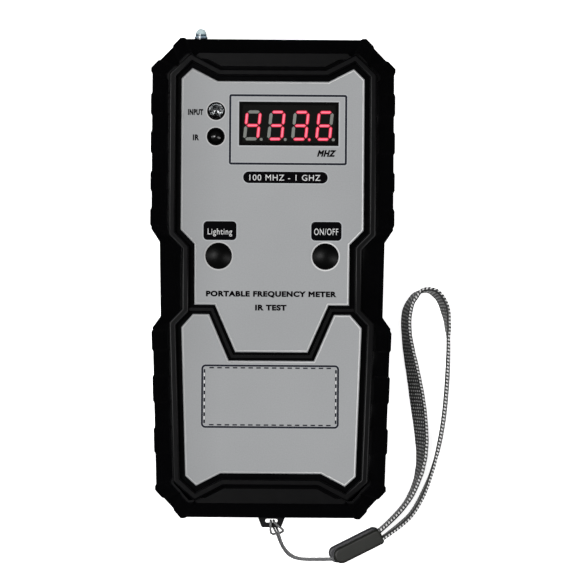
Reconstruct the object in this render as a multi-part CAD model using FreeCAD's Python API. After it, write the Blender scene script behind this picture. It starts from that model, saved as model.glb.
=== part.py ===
import FreeCAD, Part
import math
import os

# Handheld frequency counter with a wrist strap.
# Millimetres. +Z points out of the front panel, +Y to the display end.
# The origin is the middle of the flat back, which rests on z = 0.

V = FreeCAD.Vector

# Heights above the back face
BACK_BEVEL = 4.2
PARTING = 13.5
SLOPE_START = 19.5
FRONT_FLOOR_UNDER = 22.0
WAIST_BAND = 23.6
SEAT = 23.8
BAND = 24.2
PAD_TOP = 24.6
RIDGE_TOP = 25.0
PLATE_TOP = 25.4
BEAD_TOP = 26.4
BUTTON_TOP = 27.0
BOARD_UNDER = 14.0
BOARD_TOP = 15.6

# Walls, gaps and edge sizes
WALL = 2.4
INNER_SLOPE_WALL = 6.5
GROOVE = 1.66
BEAD_WIDTH = 2.0
BEAD_EDGE = 0.5
PLATE_EDGE = 0.35
PAD_PROUD = 0.38
PAD_BEVEL = 0.7
PAD_REACH = 5.8
PAD_TOP_INSET = 5.1
PAD_TOP_ROUND = 0.3
PAD_BACK_INSET = 2.2
PAD_BACK = 0.9
SEAM = 0.3
LIP_GAP = 0.1
LIP_WIDTH = 1.1
LIP_HEIGHT = 1.2

# Half outlines, from the top middle clockwise to the bottom middle
CASE_HALF = [(28.05, 72.5), (36.7, 63.6), (36.7, 14.8), (33.8, 10.4),
             (33.7, -11.7), (36.1, -15.1), (34.65, -64.3), (27.0, -72.6)]
CASE_END = CASE_HALF[0][1]
FLAT_HALF = [(22.4, 68.1), (31.6, 60.6), (31.6, 14.4), (26.6, 10.9),
             (26.6, -12.0), (31.0, -15.1), (29.6, -60.6), (22.2, -68.1)]
PLATES_HALF = [(16.8, 59.6), (24.4, 63.5), (27.7, 60.3), (27.7, 14.6),
               (23.5, 10.25), (23.5, -10.9), (27.3, -14.9), (25.8, -59.9),
               (22.5, -62.9), (15.2, -59.1)]
UPPER_PLATE_HALF = [(16.8, 59.6), (24.4, 63.5), (27.7, 60.3), (27.7, 14.6),
                    (23.5, 10.25), (23.4, -8.1), (17.2, -8.1), (10.95, -22.4)]
LOWER_PLATE_HALF = [(12.9, -24.9), (18.9, -10.9), (23.8, -10.9), (27.3, -14.9),
                    (25.8, -59.9), (22.5, -62.9), (15.2, -59.1)]
RIDGE_HALF = [(25.0, -9.5), (18.05, -9.5), (11.9, -23.65)]
RIDGE_WIDTH = 0.9

# Grip pads on the long sides: upper and lower end of each
SIDE_PADS = [(56.2, 49.2), (44.7, 37.7), (32.5, 26.1), (21.3, 15.5),
             (-15.8, -22.3), (-29.5, -38.0), (-45.3, -53.4)]
CORNER_LONG = 3.6
CORNER_SHORT = 1.7

# Parts seen through the upper plate
DISPLAY_X, DISPLAY_Y = 4.84, 46.8
WINDOW = (30.2, 13.3)
MODULE = (29.9, 13.0)
MODULE_FACE = (28.3, 11.5)
MODULE_TOP = 25.0
MODULE_UNDER = 17.9
FACE_DEPTH = 0.5
DIGIT_PITCH = 7.26
DIGIT_SHIFT = -0.14
DIGIT_DROP = 0.54
DIGIT_HALF_WIDTH = 1.98
DIGIT_HALF_HEIGHT = 4.08
SEGMENT_WIDTH = 0.95
SEGMENT_GAP = 0.2
SEGMENT_PROUD = 0.12
POINT_OFFSET = (3.1, -4.2)
POINT_RADIUS = 0.45
DIGIT_SLANT = math.tan(math.radians(5.4))
READING = ["bcfg", "abcdg", "abcdg", "acdefg"]
POINT_AFTER = 2
INPUT_LAMP = (-17.2, 50.5)
IR_RECEIVER = (-17.25, 42.8)
LAMP_HOLE = 2.62
BUTTONS = {"lighting": -16.15, "power": 16.15}
BUTTON_Y = 6.7
BUTTON_RADIUS = 3.9
BUTTON_HOLE = 4.02
BUTTON_FLANGE = 4.7
PLUNGER_RADIUS = 1.75

# Torch lamp in the top wall
TORCH_X, TORCH_Z = -22.0, 17.3
TORCH_RADIUS, TORCH_FLANGE = 1.65, 1.95
TORCH_RIM, TORCH_HEIGHT = 1.55, 3.15
TORCH_BARREL, TORCH_BARREL_LENGTH = 1.5, 3.0

# Circuit board
BOARD_HALF_WIDTH = 24.5
BOARD_LOW, BOARD_HIGH = -11.0, 66.5
BOARD_SCREWS = [(-20.8, 30.0), (20.8, 30.0), (-20.8, -6.5), (20.8, -6.5)]

# Case screws and their bosses
CASE_SCREWS = [(-29.0, 60.5), (29.0, 60.5), (-28.0, -59.0), (28.0, -59.0)]
BOSS_RADIUS = 3.5
SCREW_SEAT = 3.4

# Battery bay and its door
BAY_HALF = 13.9
BAY_LOW, BAY_HIGH = -66.4, -13.4
BAY_WALL = 1.4
BAY_GAP = 0.3
BAY_TOP = 20.6
BATTERY_HALF = 13.25
BATTERY_LOW, BATTERY_BODY_HIGH = -66.1, -19.7
BATTERY_UNDER, BATTERY_TOP = 2.7, 20.2
TERMINAL_X = 6.35
DOOR_HALF = 14.9
DOOR_UNDER, DOOR_TOP = 0.3, 2.1
DOOR_PIVOT_Y = -66.9
DOOR_HIGH = -12.2
DOOR_EAR_HALF, DOOR_EAR_HIGH = 6.0, -3.4
DOOR_GAP = 0.2
DOOR_SCREW_Y = -7.6

# Strap lug on the bottom wall
LUG_X = 0.35
LUG_ROOT_HALF, LUG_END_HALF = 4.8, 2.95
LUG_END = -75.8
LUG_ROUND = 0.5
LUG_UNDER, LUG_TOP = 9.4, 12.4
SLOT_Y, SLOT_LENGTH, SLOT_WIDTH = -73.8, 3.8, 1.2

# Strap: thin string looped through the lug, two-part clip and webbing loop
STRING_DIAMETER = 0.7
STRING_ROUTE = [(19.8, -85.8, 3.6), (18.2, -85.95, 3.55), (16.0, -86.05, 2.4), (13.4, -86.1, 0.9),
                (10.6, -86.15, 0.4), (7.8, -85.75, 0.4), (5.6, -84.6, 1.6), (4.0, -82.6, 4.2),
                (3.0, -80.6, 7.0), (2.4, -78.9, 9.3), (1.8, -77.4, 10.2), (1.05, -76.1, 9.0),
                (0.55, -75.0, 8.5), (0.25, -74.1, 8.7), (0.15, -73.75, 9.9), (0.15, -73.7, 12.2),
                (0.1, -74.1, 13.5), (0.1, -75.4, 13.4), (0.05, -76.7, 12.2), (0.35, -77.8, 10.2),
                (1.2, -78.0, 8.9), (2.3, -77.6, 8.5), (3.3, -77.5, 9.2), (4.15, -76.75, 11.2),
                (3.2, -75.9, 13.0), (2.1, -75.1, 13.5), (1.2, -74.1, 13.5), (1.0, -73.7, 12.2),
                (1.05, -73.75, 9.7), (1.3, -74.65, 8.5), (1.9, -75.95, 8.8), (2.55, -77.25, 10.7),
                (2.95, -78.8, 10.1), (3.5, -80.5, 7.85), (4.4, -82.35, 5.05), (5.95, -84.2, 2.35),
                (7.95, -85.3, 1.05), (10.65, -85.7, 1.05), (13.4, -85.65, 1.6), (16.0, -85.55, 3.1),
                (17.9, -85.5, 4.2), (19.6, -85.35, 4.35)]
CLIP_CENTRE = (27.3, -82.1)
CLIP_ANGLE = 27.0
CLIP_FRONT = (16.1, 4.9, 3.2, 6.4)
CLIP_FRONT_SHIFT = (-0.2, 0.35)
CLIP_FRONT_ROUND = (2.3, 1.2)
CLIP_BACK = (17.0, 5.3, 0.0, 3.2)
CLIP_BACK_SHIFT = (-0.9, 1.3)
CLIP_BACK_ROUND = (2.2, 2.0)
WEB_WIDTH = 6.0
WEB_THICKNESS = 1.2
WEB_UNDER = 0.1
WEB_ROUTE = [(33.95, -76.75), (38.55, -72.4), (43.55, -65.6), (46.4, -56.0), (46.1, -46.0),
             (44.0, -31.5), (40.95, -16.5), (41.4, -7.6), (46.4, -2.3), (51.9, -4.9), (54.2, -13.5),
             (54.0, -30.0), (52.5, -46.5), (49.1, -60.3), (44.5, -70.4), (40.1, -75.1), (34.95, -78.95)]
ARC_SHARE = 0.45


def both_sides(half):
    """Close a right half outline with its mirror image."""
    return half + [(-x, y) for x, y in reversed(half)]


def direction(start, end):
    length = math.dist(start, end)
    return ((end[0] - start[0]) / length, (end[1] - start[1]) / length)


def mitre(before, after, distance):
    """Shift of a corner between two edge directions of a clockwise outline."""
    normal_a = (-before[1], before[0])
    normal_b = (-after[1], after[0])
    scale = distance / (1 + normal_a[0] * normal_b[0] + normal_a[1] * normal_b[1])
    return ((normal_a[0] + normal_b[0]) * scale, (normal_a[1] + normal_b[1]) * scale)


def offset(points, distance):
    """Closed clockwise outline moved outwards."""
    moved = []
    for index, point in enumerate(points):
        before = direction(points[index - 1], point)
        after = direction(point, points[(index + 1) % len(points)])
        shift = mitre(before, after, distance)
        moved.append((point[0] + shift[0], point[1] + shift[1]))
    return moved


def offset_run(points, distance):
    """Open run of a clockwise outline moved outwards."""
    steps = [direction(a, b) for a, b in zip(points, points[1:])]
    befores = [steps[0]] + steps
    afters = steps + [steps[-1]]
    moved = []
    for point, before, after in zip(points, befores, afters):
        shift = mitre(before, after, distance)
        moved.append((point[0] + shift[0], point[1] + shift[1]))
    return moved


def wire(points, height):
    corners = [V(x, y, height) for x, y in points]
    return Part.makePolygon(corners + corners[:1])


def prism(points, low, high):
    return Part.Face(wire(points, low)).extrude(V(0, 0, high - low))


def taper(low_points, low, high_points, high):
    return Part.makeLoft([wire(low_points, low), wire(high_points, high)], True, True)


def box(x_range, y_range, z_range):
    size = [high - low for low, high in (x_range, y_range, z_range)]
    return Part.makeBox(*size, V(x_range[0], y_range[0], z_range[0]))


def block(centre, size, low, high):
    """Upright block from its middle, its width and length, and two heights."""
    x, y = centre
    return box((x - size[0] / 2, x + size[0] / 2), (y - size[1] / 2, y + size[1] / 2), (low, high))


def post(centre, radius, low, high):
    return Part.makeCylinder(radius, high - low, V(centre[0], centre[1], low))


def turned(profile, centre):
    """Solid of revolution about an upright axis, from (radius, height) edges."""
    outline = Part.Face(Part.Wire(profile))
    solid = outline.revolve(V(0, 0, 0), V(0, 0, 1), 360)
    solid.translate(V(centre[0], centre[1], 0))
    return solid


def line(start, end):
    return Part.LineSegment(V(start[0], 0, start[1]), V(end[0], 0, end[1])).toShape()


def lines(points):
    return [line(a, b) for a, b in zip(points, points[1:])]


def soften(solid, radius, height):
    """Round the level edges that lie at one height."""
    edges = [edge for edge in solid.Edges
             if abs(edge.BoundBox.ZMin - height) < 0.01 and abs(edge.BoundBox.ZMax - height) < 0.01]
    return solid.makeFillet(radius, edges)


def along(start, end, distance):
    step = direction(start, end)
    return (start[0] + step[0] * distance, start[1] + step[1] * distance)


def side_point(y):
    """Point of the right side of the case at a given height along it."""
    for (x_a, y_a), (x_b, y_b) in zip(CASE_HALF, CASE_HALF[1:]):
        if y_b <= y <= y_a:
            return (x_a + (x_b - x_a) * (y_a - y) / (y_a - y_b), y)
    raise ValueError("no side at this height")


def pad_runs():
    """Stretches of the outline that carry a raised grip pad, on both sides."""
    runs = [[side_point(high), side_point(low)] for high, low in SIDE_PADS]
    top, shoulder = CASE_HALF[0], CASE_HALF[1]
    foot, bottom = CASE_HALF[-2], CASE_HALF[-1]
    runs.append([(top[0] - CORNER_SHORT, top[1]), top, along(top, shoulder, CORNER_LONG)])
    runs.append([along(shoulder, top, CORNER_LONG), shoulder,
                 (shoulder[0], shoulder[1] - CORNER_SHORT)])
    runs.append([along(foot, CASE_HALF[-3], CORNER_SHORT), foot, along(foot, bottom, CORNER_LONG)])
    runs.append([along(bottom, foot, CORNER_LONG), bottom, (bottom[0] - CORNER_SHORT, bottom[1])])
    mirrored = [[(-x, y) for x, y in reversed(run)] for run in runs]
    return runs + mirrored


def pad_plan(run, proud, inset):
    """Plan of a pad moved inwards: bevelled outer edge, plain inner edge."""
    trimmed = list(run)
    trimmed[0] = along(run[0], run[1], PAD_BEVEL)
    trimmed[-1] = along(run[-1], run[-2], PAD_BEVEL)
    outer = [run[0]] + offset_run(trimmed, proud) + [run[-1]]
    first, last = direction(run[0], run[1]), direction(run[-2], run[-1])
    inward = V(first[1] + last[1], -first[0] - last[0], 0).normalize()
    outer = [(x + inward.x * inset, y + inward.y * inset) for x, y in outer]
    inner = [(x + inward.x * PAD_REACH, y + inward.y * PAD_REACH) for x, y in reversed(run)]
    return outer + inner


def front_pad(run):
    wall_plan = pad_plan(run, PAD_PROUD, 0)
    top_plan = pad_plan(run, PAD_TOP_ROUND, PAD_TOP_INSET + PAD_TOP_ROUND)
    upright = prism(wall_plan, PARTING + SEAM, SLOPE_START)
    return [upright, taper(wall_plan, SLOPE_START, top_plan, PAD_TOP)]


def rear_pad(run):
    wall_plan = pad_plan(run, PAD_PROUD, 0)
    back_plan = pad_plan(run, PAD_TOP_ROUND, PAD_BACK_INSET + PAD_TOP_ROUND)
    upright = prism(wall_plan, BACK_BEVEL, PARTING - SEAM)
    return [upright, taper(back_plan, PAD_BACK, wall_plan, BACK_BEVEL)]


def waist_hollow():
    """Space above the sunken band beside the waist, outside the bead."""
    section = [(16.4, PAD_TOP + 0.6), (11.6, WAIST_BAND), (-12.7, WAIST_BAND), (-17.0, PAD_TOP + 0.6)]
    corners = [V(-40, y, z) for y, z in section]
    hollow = Part.Face(Part.makePolygon(corners + corners[:1])).extrude(V(80, 0, 0))
    bead = prism(offset(both_sides(PLATES_HALF), GROOVE + BEAD_WIDTH), 20, 30)
    return hollow.cut(bead)


def shadow_groove():
    """Narrow groove outside the bead, at the middle of the top and bottom."""
    plates = both_sides(PLATES_HALF)
    ring = prism(offset(plates, 4.6), 23.5, 30).cut(prism(offset(plates, GROOVE + BEAD_WIDTH), 23, 30))
    keep = box((-22.6, 22.6), (55, 66.4), (20, 30)).fuse(box((-21.6, 21.6), (-66.6, -55), (20, 30)))
    return ring.common(keep)


def bead():
    """Raised ring round the plates, with rounded top edges."""
    plates = both_sides(PLATES_HALF)
    ring = prism(offset(plates, GROOVE + BEAD_WIDTH), FRONT_FLOOR_UNDER + 1, BEAD_TOP)
    ring = ring.cut(prism(offset(plates, GROOVE), FRONT_FLOOR_UNDER, BEAD_TOP + 1))
    return soften(ring, BEAD_EDGE, BEAD_TOP)


def divider_ridge():
    """Thin ridge in the groove between the two plates."""
    path = both_sides([RIDGE_HALF[-1], RIDGE_HALF[-2], RIDGE_HALF[0]])
    run = path[3:] + path[:3]
    upper = offset_run(run, RIDGE_WIDTH / 2)
    lower = offset_run(run, -RIDGE_WIDTH / 2)
    return prism(upper + list(reversed(lower)), SEAT - 0.5, RIDGE_TOP)


def panel_holes(low, high):
    """Window, lamp holes and button holes through the front."""
    holes = [block((DISPLAY_X, DISPLAY_Y), WINDOW, low, high)]
    for lamp in (INPUT_LAMP, IR_RECEIVER):
        holes.append(post(lamp, LAMP_HOLE, low, high))
    for x in BUTTONS.values():
        holes.append(post((x, BUTTON_Y), BUTTON_HOLE, low, high))
    return Part.makeCompound(holes)


def make_front_shell():
    case = both_sides(CASE_HALF)
    body = [prism(offset(case, -SEAM), PARTING, PARTING + SEAM),
            prism(case, PARTING + SEAM, SLOPE_START),
            taper(case, SLOPE_START, both_sides(FLAT_HALF), BAND)]
    for run in pad_runs():
        body += front_pad(run)
    shell = body[0].multiFuse(body[1:])
    shell = shell.cut(waist_hollow()).cut(shadow_groove())
    plates = both_sides(PLATES_HALF)
    shell = shell.cut(prism(offset(plates, GROOVE), SEAT, 30))
    shell = shell.multiFuse([bead(), divider_ridge()])
    shell = shell.cut(prism(offset(case, -WALL), PARTING - 1, SLOPE_START))
    shell = shell.cut(prism(offset(case, -INNER_SLOPE_WALL), SLOPE_START - 1, FRONT_FLOOR_UNDER))
    shell = shell.cut(bay_box(BAY_WALL + BAY_GAP, SLOPE_START - 1, FRONT_FLOOR_UNDER))
    shell = shell.cut(prism(offset(case, -SEAM - LIP_WIDTH), PARTING - 1, PARTING + LIP_HEIGHT + LIP_GAP))
    bosses = [post(place, BOSS_RADIUS, PARTING, FRONT_FLOOR_UNDER + 0.5) for place in CASE_SCREWS]
    bosses += [post(place, 2.5, BOARD_TOP, FRONT_FLOOR_UNDER + 0.5) for place in BOARD_SCREWS]
    shell = shell.multiFuse(bosses)
    for place in CASE_SCREWS:
        shell = shell.cut(post(place, 1.5, PARTING - 1, 21.6))
    for place in BOARD_SCREWS:
        shell = shell.cut(post(place, 1.05, BOARD_TOP - 1, 21.6))
    shell = shell.cut(panel_holes(FRONT_FLOOR_UNDER - 1, SEAT + 1))
    torch_hole = Part.makeCylinder(TORCH_BARREL + 0.1, 6, V(TORCH_X, CASE_END - 5, TORCH_Z), V(0, 1, 0))
    return shell.cut(torch_hole).removeSplitter()


def make_lug():
    plan = both_sides([(LUG_ROOT_HALF, -71.0), (LUG_END_HALF, LUG_END)])
    lug = prism(plan, LUG_UNDER, LUG_TOP)
    ends = [edge for edge in lug.Edges
            if edge.BoundBox.YMax < LUG_END + 0.01 and edge.BoundBox.XLength < 0.01]
    lug = lug.makeFillet(LUG_ROUND, ends)
    straight = (SLOT_LENGTH - SLOT_WIDTH) / 2
    slot = block((0, SLOT_Y), (2 * straight, SLOT_WIDTH), 0, 20)
    for x in (-straight, straight):
        slot = slot.fuse(post((x, SLOT_Y), SLOT_WIDTH / 2, 0, 20))
    lug = lug.cut(slot)
    lug.translate(V(LUG_X, 0, 0))
    return lug


def bay_box(grow, low, high):
    return box((-BAY_HALF - grow, BAY_HALF + grow), (BAY_LOW - grow, BAY_HIGH + grow), (low, high))


def door_recess():
    """Space in the back that the door and its ear fill, with a gap all round."""
    plate = box((-DOOR_HALF - DOOR_GAP, DOOR_HALF + DOOR_GAP),
                (DOOR_PIVOT_Y - 0.9 - DOOR_GAP, DOOR_HIGH + DOOR_GAP), (-1, DOOR_TOP + 0.1))
    ear = box((-DOOR_EAR_HALF - DOOR_GAP, DOOR_EAR_HALF + DOOR_GAP),
              (DOOR_HIGH - 1, DOOR_EAR_HIGH + DOOR_GAP), (-1, DOOR_TOP + 0.1))
    return plate.fuse(ear)


def make_rear_shell():
    case = both_sides(CASE_HALF)
    body = [taper(offset(case, -3.0), 0, case, BACK_BEVEL),
            prism(case, BACK_BEVEL, PARTING - SEAM),
            prism(offset(case, -SEAM), PARTING - SEAM, PARTING)]
    for run in pad_runs():
        body += rear_pad(run)
    shell = body[0].multiFuse(body[1:])
    shell = shell.cut(prism(offset(case, -WALL - 1.6), 2.4, BACK_BEVEL + 1))
    shell = shell.cut(prism(offset(case, -WALL), BACK_BEVEL, PARTING + 1))
    lip = prism(offset(case, -SEAM - LIP_WIDTH - LIP_GAP), PARTING - 1, PARTING + LIP_HEIGHT)
    lip = lip.cut(prism(offset(case, -WALL), PARTING - 2, PARTING + 2))
    bosses = [post(place, BOSS_RADIUS, 1, PARTING) for place in CASE_SCREWS]
    walls = bay_box(BAY_WALL, 1, BAY_TOP + 1.2)
    door_boss = post((0, DOOR_SCREW_Y), 3.2, 1, 11)
    shell = shell.multiFuse([lip, walls, door_boss, make_lug()] + bosses)
    shell = shell.cut(bay_box(0, -1, BAY_TOP)).cut(door_recess())
    shell = shell.cut(block((0, BAY_HIGH), (9, 4), 14.8, 19.4))
    shell = shell.cut(post((0, DOOR_SCREW_Y), 2.1, 0, 9.5))
    for place in CASE_SCREWS:
        shell = shell.cut(post(place, 1.7, -1, PARTING + 1))
        shell = shell.cut(post(place, 3.1, -1, SCREW_SEAT))
    label = box((-21, 21), (14, 48), (-1, 0.5))
    return shell.cut(label).removeSplitter()


def make_upper_faceplate():
    plate = prism(both_sides(UPPER_PLATE_HALF), SEAT, PLATE_TOP)
    plate = soften(plate, PLATE_EDGE, PLATE_TOP)
    return plate.cut(panel_holes(SEAT - 1, PLATE_TOP + 1))


def make_lower_faceplate():
    plate = prism(both_sides(LOWER_PLATE_HALF), SEAT, PLATE_TOP)
    return soften(plate, PLATE_EDGE, PLATE_TOP)


def make_display_housing():
    centre = (DISPLAY_X, DISPLAY_Y)
    housing = block(centre, MODULE, MODULE_UNDER, MODULE_TOP)
    return housing.cut(block(centre, MODULE_FACE, MODULE_TOP - FACE_DEPTH, MODULE_TOP + 1))


def make_display_face():
    centre = (DISPLAY_X, DISPLAY_Y)
    size = (MODULE_FACE[0] - 0.1, MODULE_FACE[1] - 0.1)
    return block(centre, size, MODULE_TOP - FACE_DEPTH, MODULE_TOP - SEGMENT_PROUD - 0.1)


def segment_ends():
    """Corner pairs that each segment of a digit joins."""
    right, top = DIGIT_HALF_WIDTH, DIGIT_HALF_HEIGHT
    return {"a": ((-right, top), (right, top)), "b": ((right, top), (right, 0)),
            "c": ((right, 0), (right, -top)), "d": ((-right, -top), (right, -top)),
            "e": ((-right, 0), (-right, -top)), "f": ((-right, top), (-right, 0)),
            "g": ((-right, 0), (right, 0))}


def segment(start, end, centre):
    """Six-sided bar between two corners of a slanted digit."""
    step = direction(start, end)
    side = (-step[1] * SEGMENT_WIDTH / 2, step[0] * SEGMENT_WIDTH / 2)
    tips = (along(start, end, SEGMENT_GAP), along(end, start, SEGMENT_GAP))
    necks = (along(start, end, SEGMENT_GAP + SEGMENT_WIDTH / 2),
             along(end, start, SEGMENT_GAP + SEGMENT_WIDTH / 2))
    plan = [tips[0], (necks[0][0] + side[0], necks[0][1] + side[1]),
            (necks[1][0] + side[0], necks[1][1] + side[1]), tips[1],
            (necks[1][0] - side[0], necks[1][1] - side[1]),
            (necks[0][0] - side[0], necks[0][1] - side[1])]
    slanted = [(centre[0] + x + y * DIGIT_SLANT, centre[1] + y) for x, y in plan]
    return prism(slanted, MODULE_TOP - SEGMENT_PROUD - 0.1, MODULE_TOP - 0.1)


def digit_centre(index):
    return (DISPLAY_X + (index - 1.5) * DIGIT_PITCH + DIGIT_SHIFT, DISPLAY_Y - DIGIT_DROP)


def make_segments(lit):
    """Segments of all four digits that are lit, or those that are dark."""
    bars = []
    for index, shown in enumerate(READING):
        centre = digit_centre(index)
        for name, (start, end) in segment_ends().items():
            if (name in shown) == lit:
                bars.append(segment(start, end, centre))
        if (index == POINT_AFTER) == lit:
            lean = POINT_OFFSET[1] * DIGIT_SLANT
            dot = (centre[0] + POINT_OFFSET[0] + lean, centre[1] + POINT_OFFSET[1])
            bars.append(post(dot, POINT_RADIUS, MODULE_TOP - SEGMENT_PROUD - 0.1, MODULE_TOP - 0.1))
    return Part.makeCompound(bars)


def make_display_pins():
    pins = []
    for y in (DISPLAY_Y - 5.1, DISPLAY_Y + 5.1):
        for index in range(6):
            x = DISPLAY_X + (index - 2.5) * 2.54
            pins.append(block((x, y), (0.5, 0.5), BOARD_TOP, MODULE_UNDER))
    return Part.makeCompound(pins)


def dome_profile(radius, low, rim, top, flange, flange_top):
    """Turned outline: wide flange below, straight barrel, domed end."""
    rise = top - rim
    sphere = (radius * radius + rise * rise) / (2 * rise)
    middle = radius / 2
    drop = sphere - math.sqrt(sphere * sphere - middle * middle)
    dome = Part.Arc(V(radius, 0, rim), V(middle, 0, top - drop), V(0, 0, top)).toShape()
    corners = [(0, top), (0, low), (flange, low), (flange, flange_top), (radius, flange_top), (radius, rim)]
    return lines(corners) + [dome]


def make_lamp(centre):
    return turned(dome_profile(2.5, 17.0, 23.1, 25.6, 2.9, 18.0), centre)


def make_lamp_leads(centre):
    return Part.makeCompound([block((centre[0] + side, centre[1]), (0.5, 0.5), BOARD_TOP, 17.0)
                              for side in (-1.27, 1.27)])


def make_torch_lamp():
    """Small clear lamp lying along Y, its flange against the top wall."""
    lamp = turned(dome_profile(TORCH_RADIUS, 0, TORCH_RIM, TORCH_HEIGHT, TORCH_FLANGE, 0.8), (0, 0))
    barrel = post((0, 0), TORCH_BARREL, -TORCH_BARREL_LENGTH, 0)
    lamp = lamp.fuse(barrel)
    lamp.rotate(V(0, 0, 0), V(1, 0, 0), -90)
    lamp.translate(V(TORCH_X, CASE_END, TORCH_Z))
    return lamp


def make_torch_leads():
    leads = []
    for side in (-1.0, 1.0):
        x = TORCH_X + side * 0.7
        level = box((x - 0.25, x + 0.25), (64.0, CASE_END - TORCH_BARREL_LENGTH),
                    (TORCH_Z - 0.25, TORCH_Z + 0.25))
        drop = box((x - 0.25, x + 0.25), (63.5, 64.0), (BOARD_TOP, TORCH_Z + 0.25))
        leads.append(level.fuse(drop).removeSplitter())
    return Part.makeCompound(leads)


def make_button(x):
    profile = dome_profile(BUTTON_RADIUS, 20.2, 25.95, BUTTON_TOP, BUTTON_FLANGE, FRONT_FLOOR_UNDER - 0.1)
    button = turned(profile, (x, BUTTON_Y))
    rim = [edge for edge in button.Edges if abs(edge.BoundBox.ZMin - 25.95) < 0.01
           and abs(edge.BoundBox.ZMax - 25.95) < 0.01]
    return button.makeFillet(0.35, rim)


def make_switch_body(x):
    body = block((x, BUTTON_Y), (6, 6), BOARD_TOP, 18.8)
    return body.cut(post((x, BUTTON_Y), PLUNGER_RADIUS + 0.1, 17.4, 20))


def make_switch_cover(x):
    cover = block((x, BUTTON_Y), (6, 6), 18.8, 19.1)
    return cover.cut(post((x, BUTTON_Y), PLUNGER_RADIUS + 0.2, 18, 20))


def make_plunger(x):
    return post((x, BUTTON_Y), PLUNGER_RADIUS, 17.9, 20.2)


def make_main_board():
    board = box((-BOARD_HALF_WIDTH, BOARD_HALF_WIDTH), (BOARD_LOW, BOARD_HIGH), (BOARD_UNDER, BOARD_TOP))
    for place in BOARD_SCREWS:
        board = board.cut(post(place, 1.35, 0, 20))
    return board


def make_chip(centre, size, height, pins_each_side):
    """Chip body and its row of legs along both long sides."""
    body = block(centre, size, BOARD_TOP + 0.2, BOARD_TOP + height)
    legs = []
    for side in (-1, 1):
        for index in range(pins_each_side):
            y = centre[1] + (index - (pins_each_side - 1) / 2) * 1.27
            legs.append(block((centre[0] + side * (size[0] / 2 + 0.6), y), (1.2, 0.4),
                              BOARD_TOP, BOARD_TOP + 0.9))
    return body, legs


def make_crystal():
    can = block((-9.5, 33.5), (4.0, 4.6), BOARD_TOP, BOARD_TOP + 3.5)
    for side in (-1, 1):
        can = can.fuse(Part.makeCylinder(2.3, 3.5, V(-9.5 + side * 2.0, 33.5, BOARD_TOP)))
    return can


def make_regulator():
    body = post((-4, -2), 2.4, BOARD_TOP + 0.6, BOARD_TOP + 5.4)
    return body.cut(box((-8, 0), (-0.6, 3), (BOARD_TOP, BOARD_TOP + 6)))


def make_capacitors():
    return Part.makeCompound([post((x, y), 2.5, BOARD_TOP, BOARD_TOP + 5.6)
                              for x, y in ((5.0, -2.0), (-12.0, -2.5), (12.5, 28.0))])


def make_resistors():
    chips = []
    for index in range(7):
        chips.append(block((-8 + index * 2.6, 37.3), (1.25, 2.0), BOARD_TOP, BOARD_TOP + 0.55))
    for index in range(4):
        chips.append(block((-22.3, 12 + index * 3), (2.0, 1.25), BOARD_TOP, BOARD_TOP + 0.55))
    return Part.makeCompound(chips)


def make_transistors():
    return Part.makeCompound([block((21, 38 + index * 4.5), (1.4, 2.9), BOARD_TOP, BOARD_TOP + 1.1)
                              for index in range(4)])


def lying_cylinder(x_range, y, z, radius):
    return Part.makeCylinder(radius, x_range[1] - x_range[0], V(x_range[0], y, z), V(1, 0, 0))


def make_coil_core():
    core = lying_cylinder((-14, 10), 60.5, 18.6, 1.5)
    for x in (-14, 9):
        core = core.fuse(lying_cylinder((x, x + 1), 60.5, 18.6, 3.0))
    return core


def make_coil_winding():
    return lying_cylinder((-13, 9), 60.5, 18.6, 2.4).cut(lying_cylinder((-13, 9), 60.5, 18.6, 1.5))


def screw(place, seat, head_radius, head_height, shank_radius, tip, cross):
    """Pan-head screw driven upwards from the back, with a cross recess."""
    body = post(place, head_radius, seat - head_height, seat).fuse(post(place, shank_radius, seat, tip))
    low = seat - head_height - 0.1
    for size in ((cross, 0.7), (0.7, cross)):
        body = body.cut(block(place, size, low, low + head_height * 0.55))
    return body


def make_case_screws():
    return Part.makeCompound([screw(place, SCREW_SEAT, 2.8, 2.0, 1.45, 21.0, 3.0) for place in CASE_SCREWS])


def make_board_screws():
    return Part.makeCompound([screw(place, BOARD_UNDER, 2.2, 1.4, 1.0, 20.5, 2.4) for place in BOARD_SCREWS])


def make_battery_door():
    middle = (DOOR_UNDER + DOOR_TOP) / 2
    plate = box((-DOOR_HALF, DOOR_HALF), (DOOR_PIVOT_Y, DOOR_HIGH), (DOOR_UNDER, DOOR_TOP))
    knuckle = lying_cylinder((-DOOR_HALF, DOOR_HALF), DOOR_PIVOT_Y, middle, (DOOR_TOP - DOOR_UNDER) / 2)
    ear = box((-DOOR_EAR_HALF, DOOR_EAR_HALF), (DOOR_HIGH - 1, DOOR_EAR_HIGH), (DOOR_UNDER, DOOR_TOP))
    door = plate.multiFuse([knuckle, ear]).removeSplitter()
    corners = [edge for edge in door.Edges
               if edge.BoundBox.ZLength > 1 and edge.BoundBox.YLength < 0.01
               and (edge.BoundBox.YMin > DOOR_EAR_HIGH - 0.01
                    or edge.BoundBox.YMin > DOOR_HIGH - 0.01 and abs(edge.BoundBox.XMin) > DOOR_EAR_HALF + 1)]
    door = door.makeFillet(1.0, corners)
    door = door.cut(post((0, DOOR_SCREW_Y), 1.4, 0, 3)).cut(post((0, DOOR_SCREW_Y), 2.4, 0, 1.4))
    for index in range(6):
        groove = box((-8, 8), (-22.0 + index * 1.5, -21.3 + index * 1.5), (0, DOOR_UNDER + 0.35))
        door = door.cut(groove)
    return door


def make_door_screw():
    return screw((0, DOOR_SCREW_Y), 1.4, 2.2, 1.0, 1.2, 8.5, 2.6)


def make_battery_pad():
    return box((-9, 9), (-58, -30), (DOOR_TOP, DOOR_TOP + 0.5))


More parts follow.
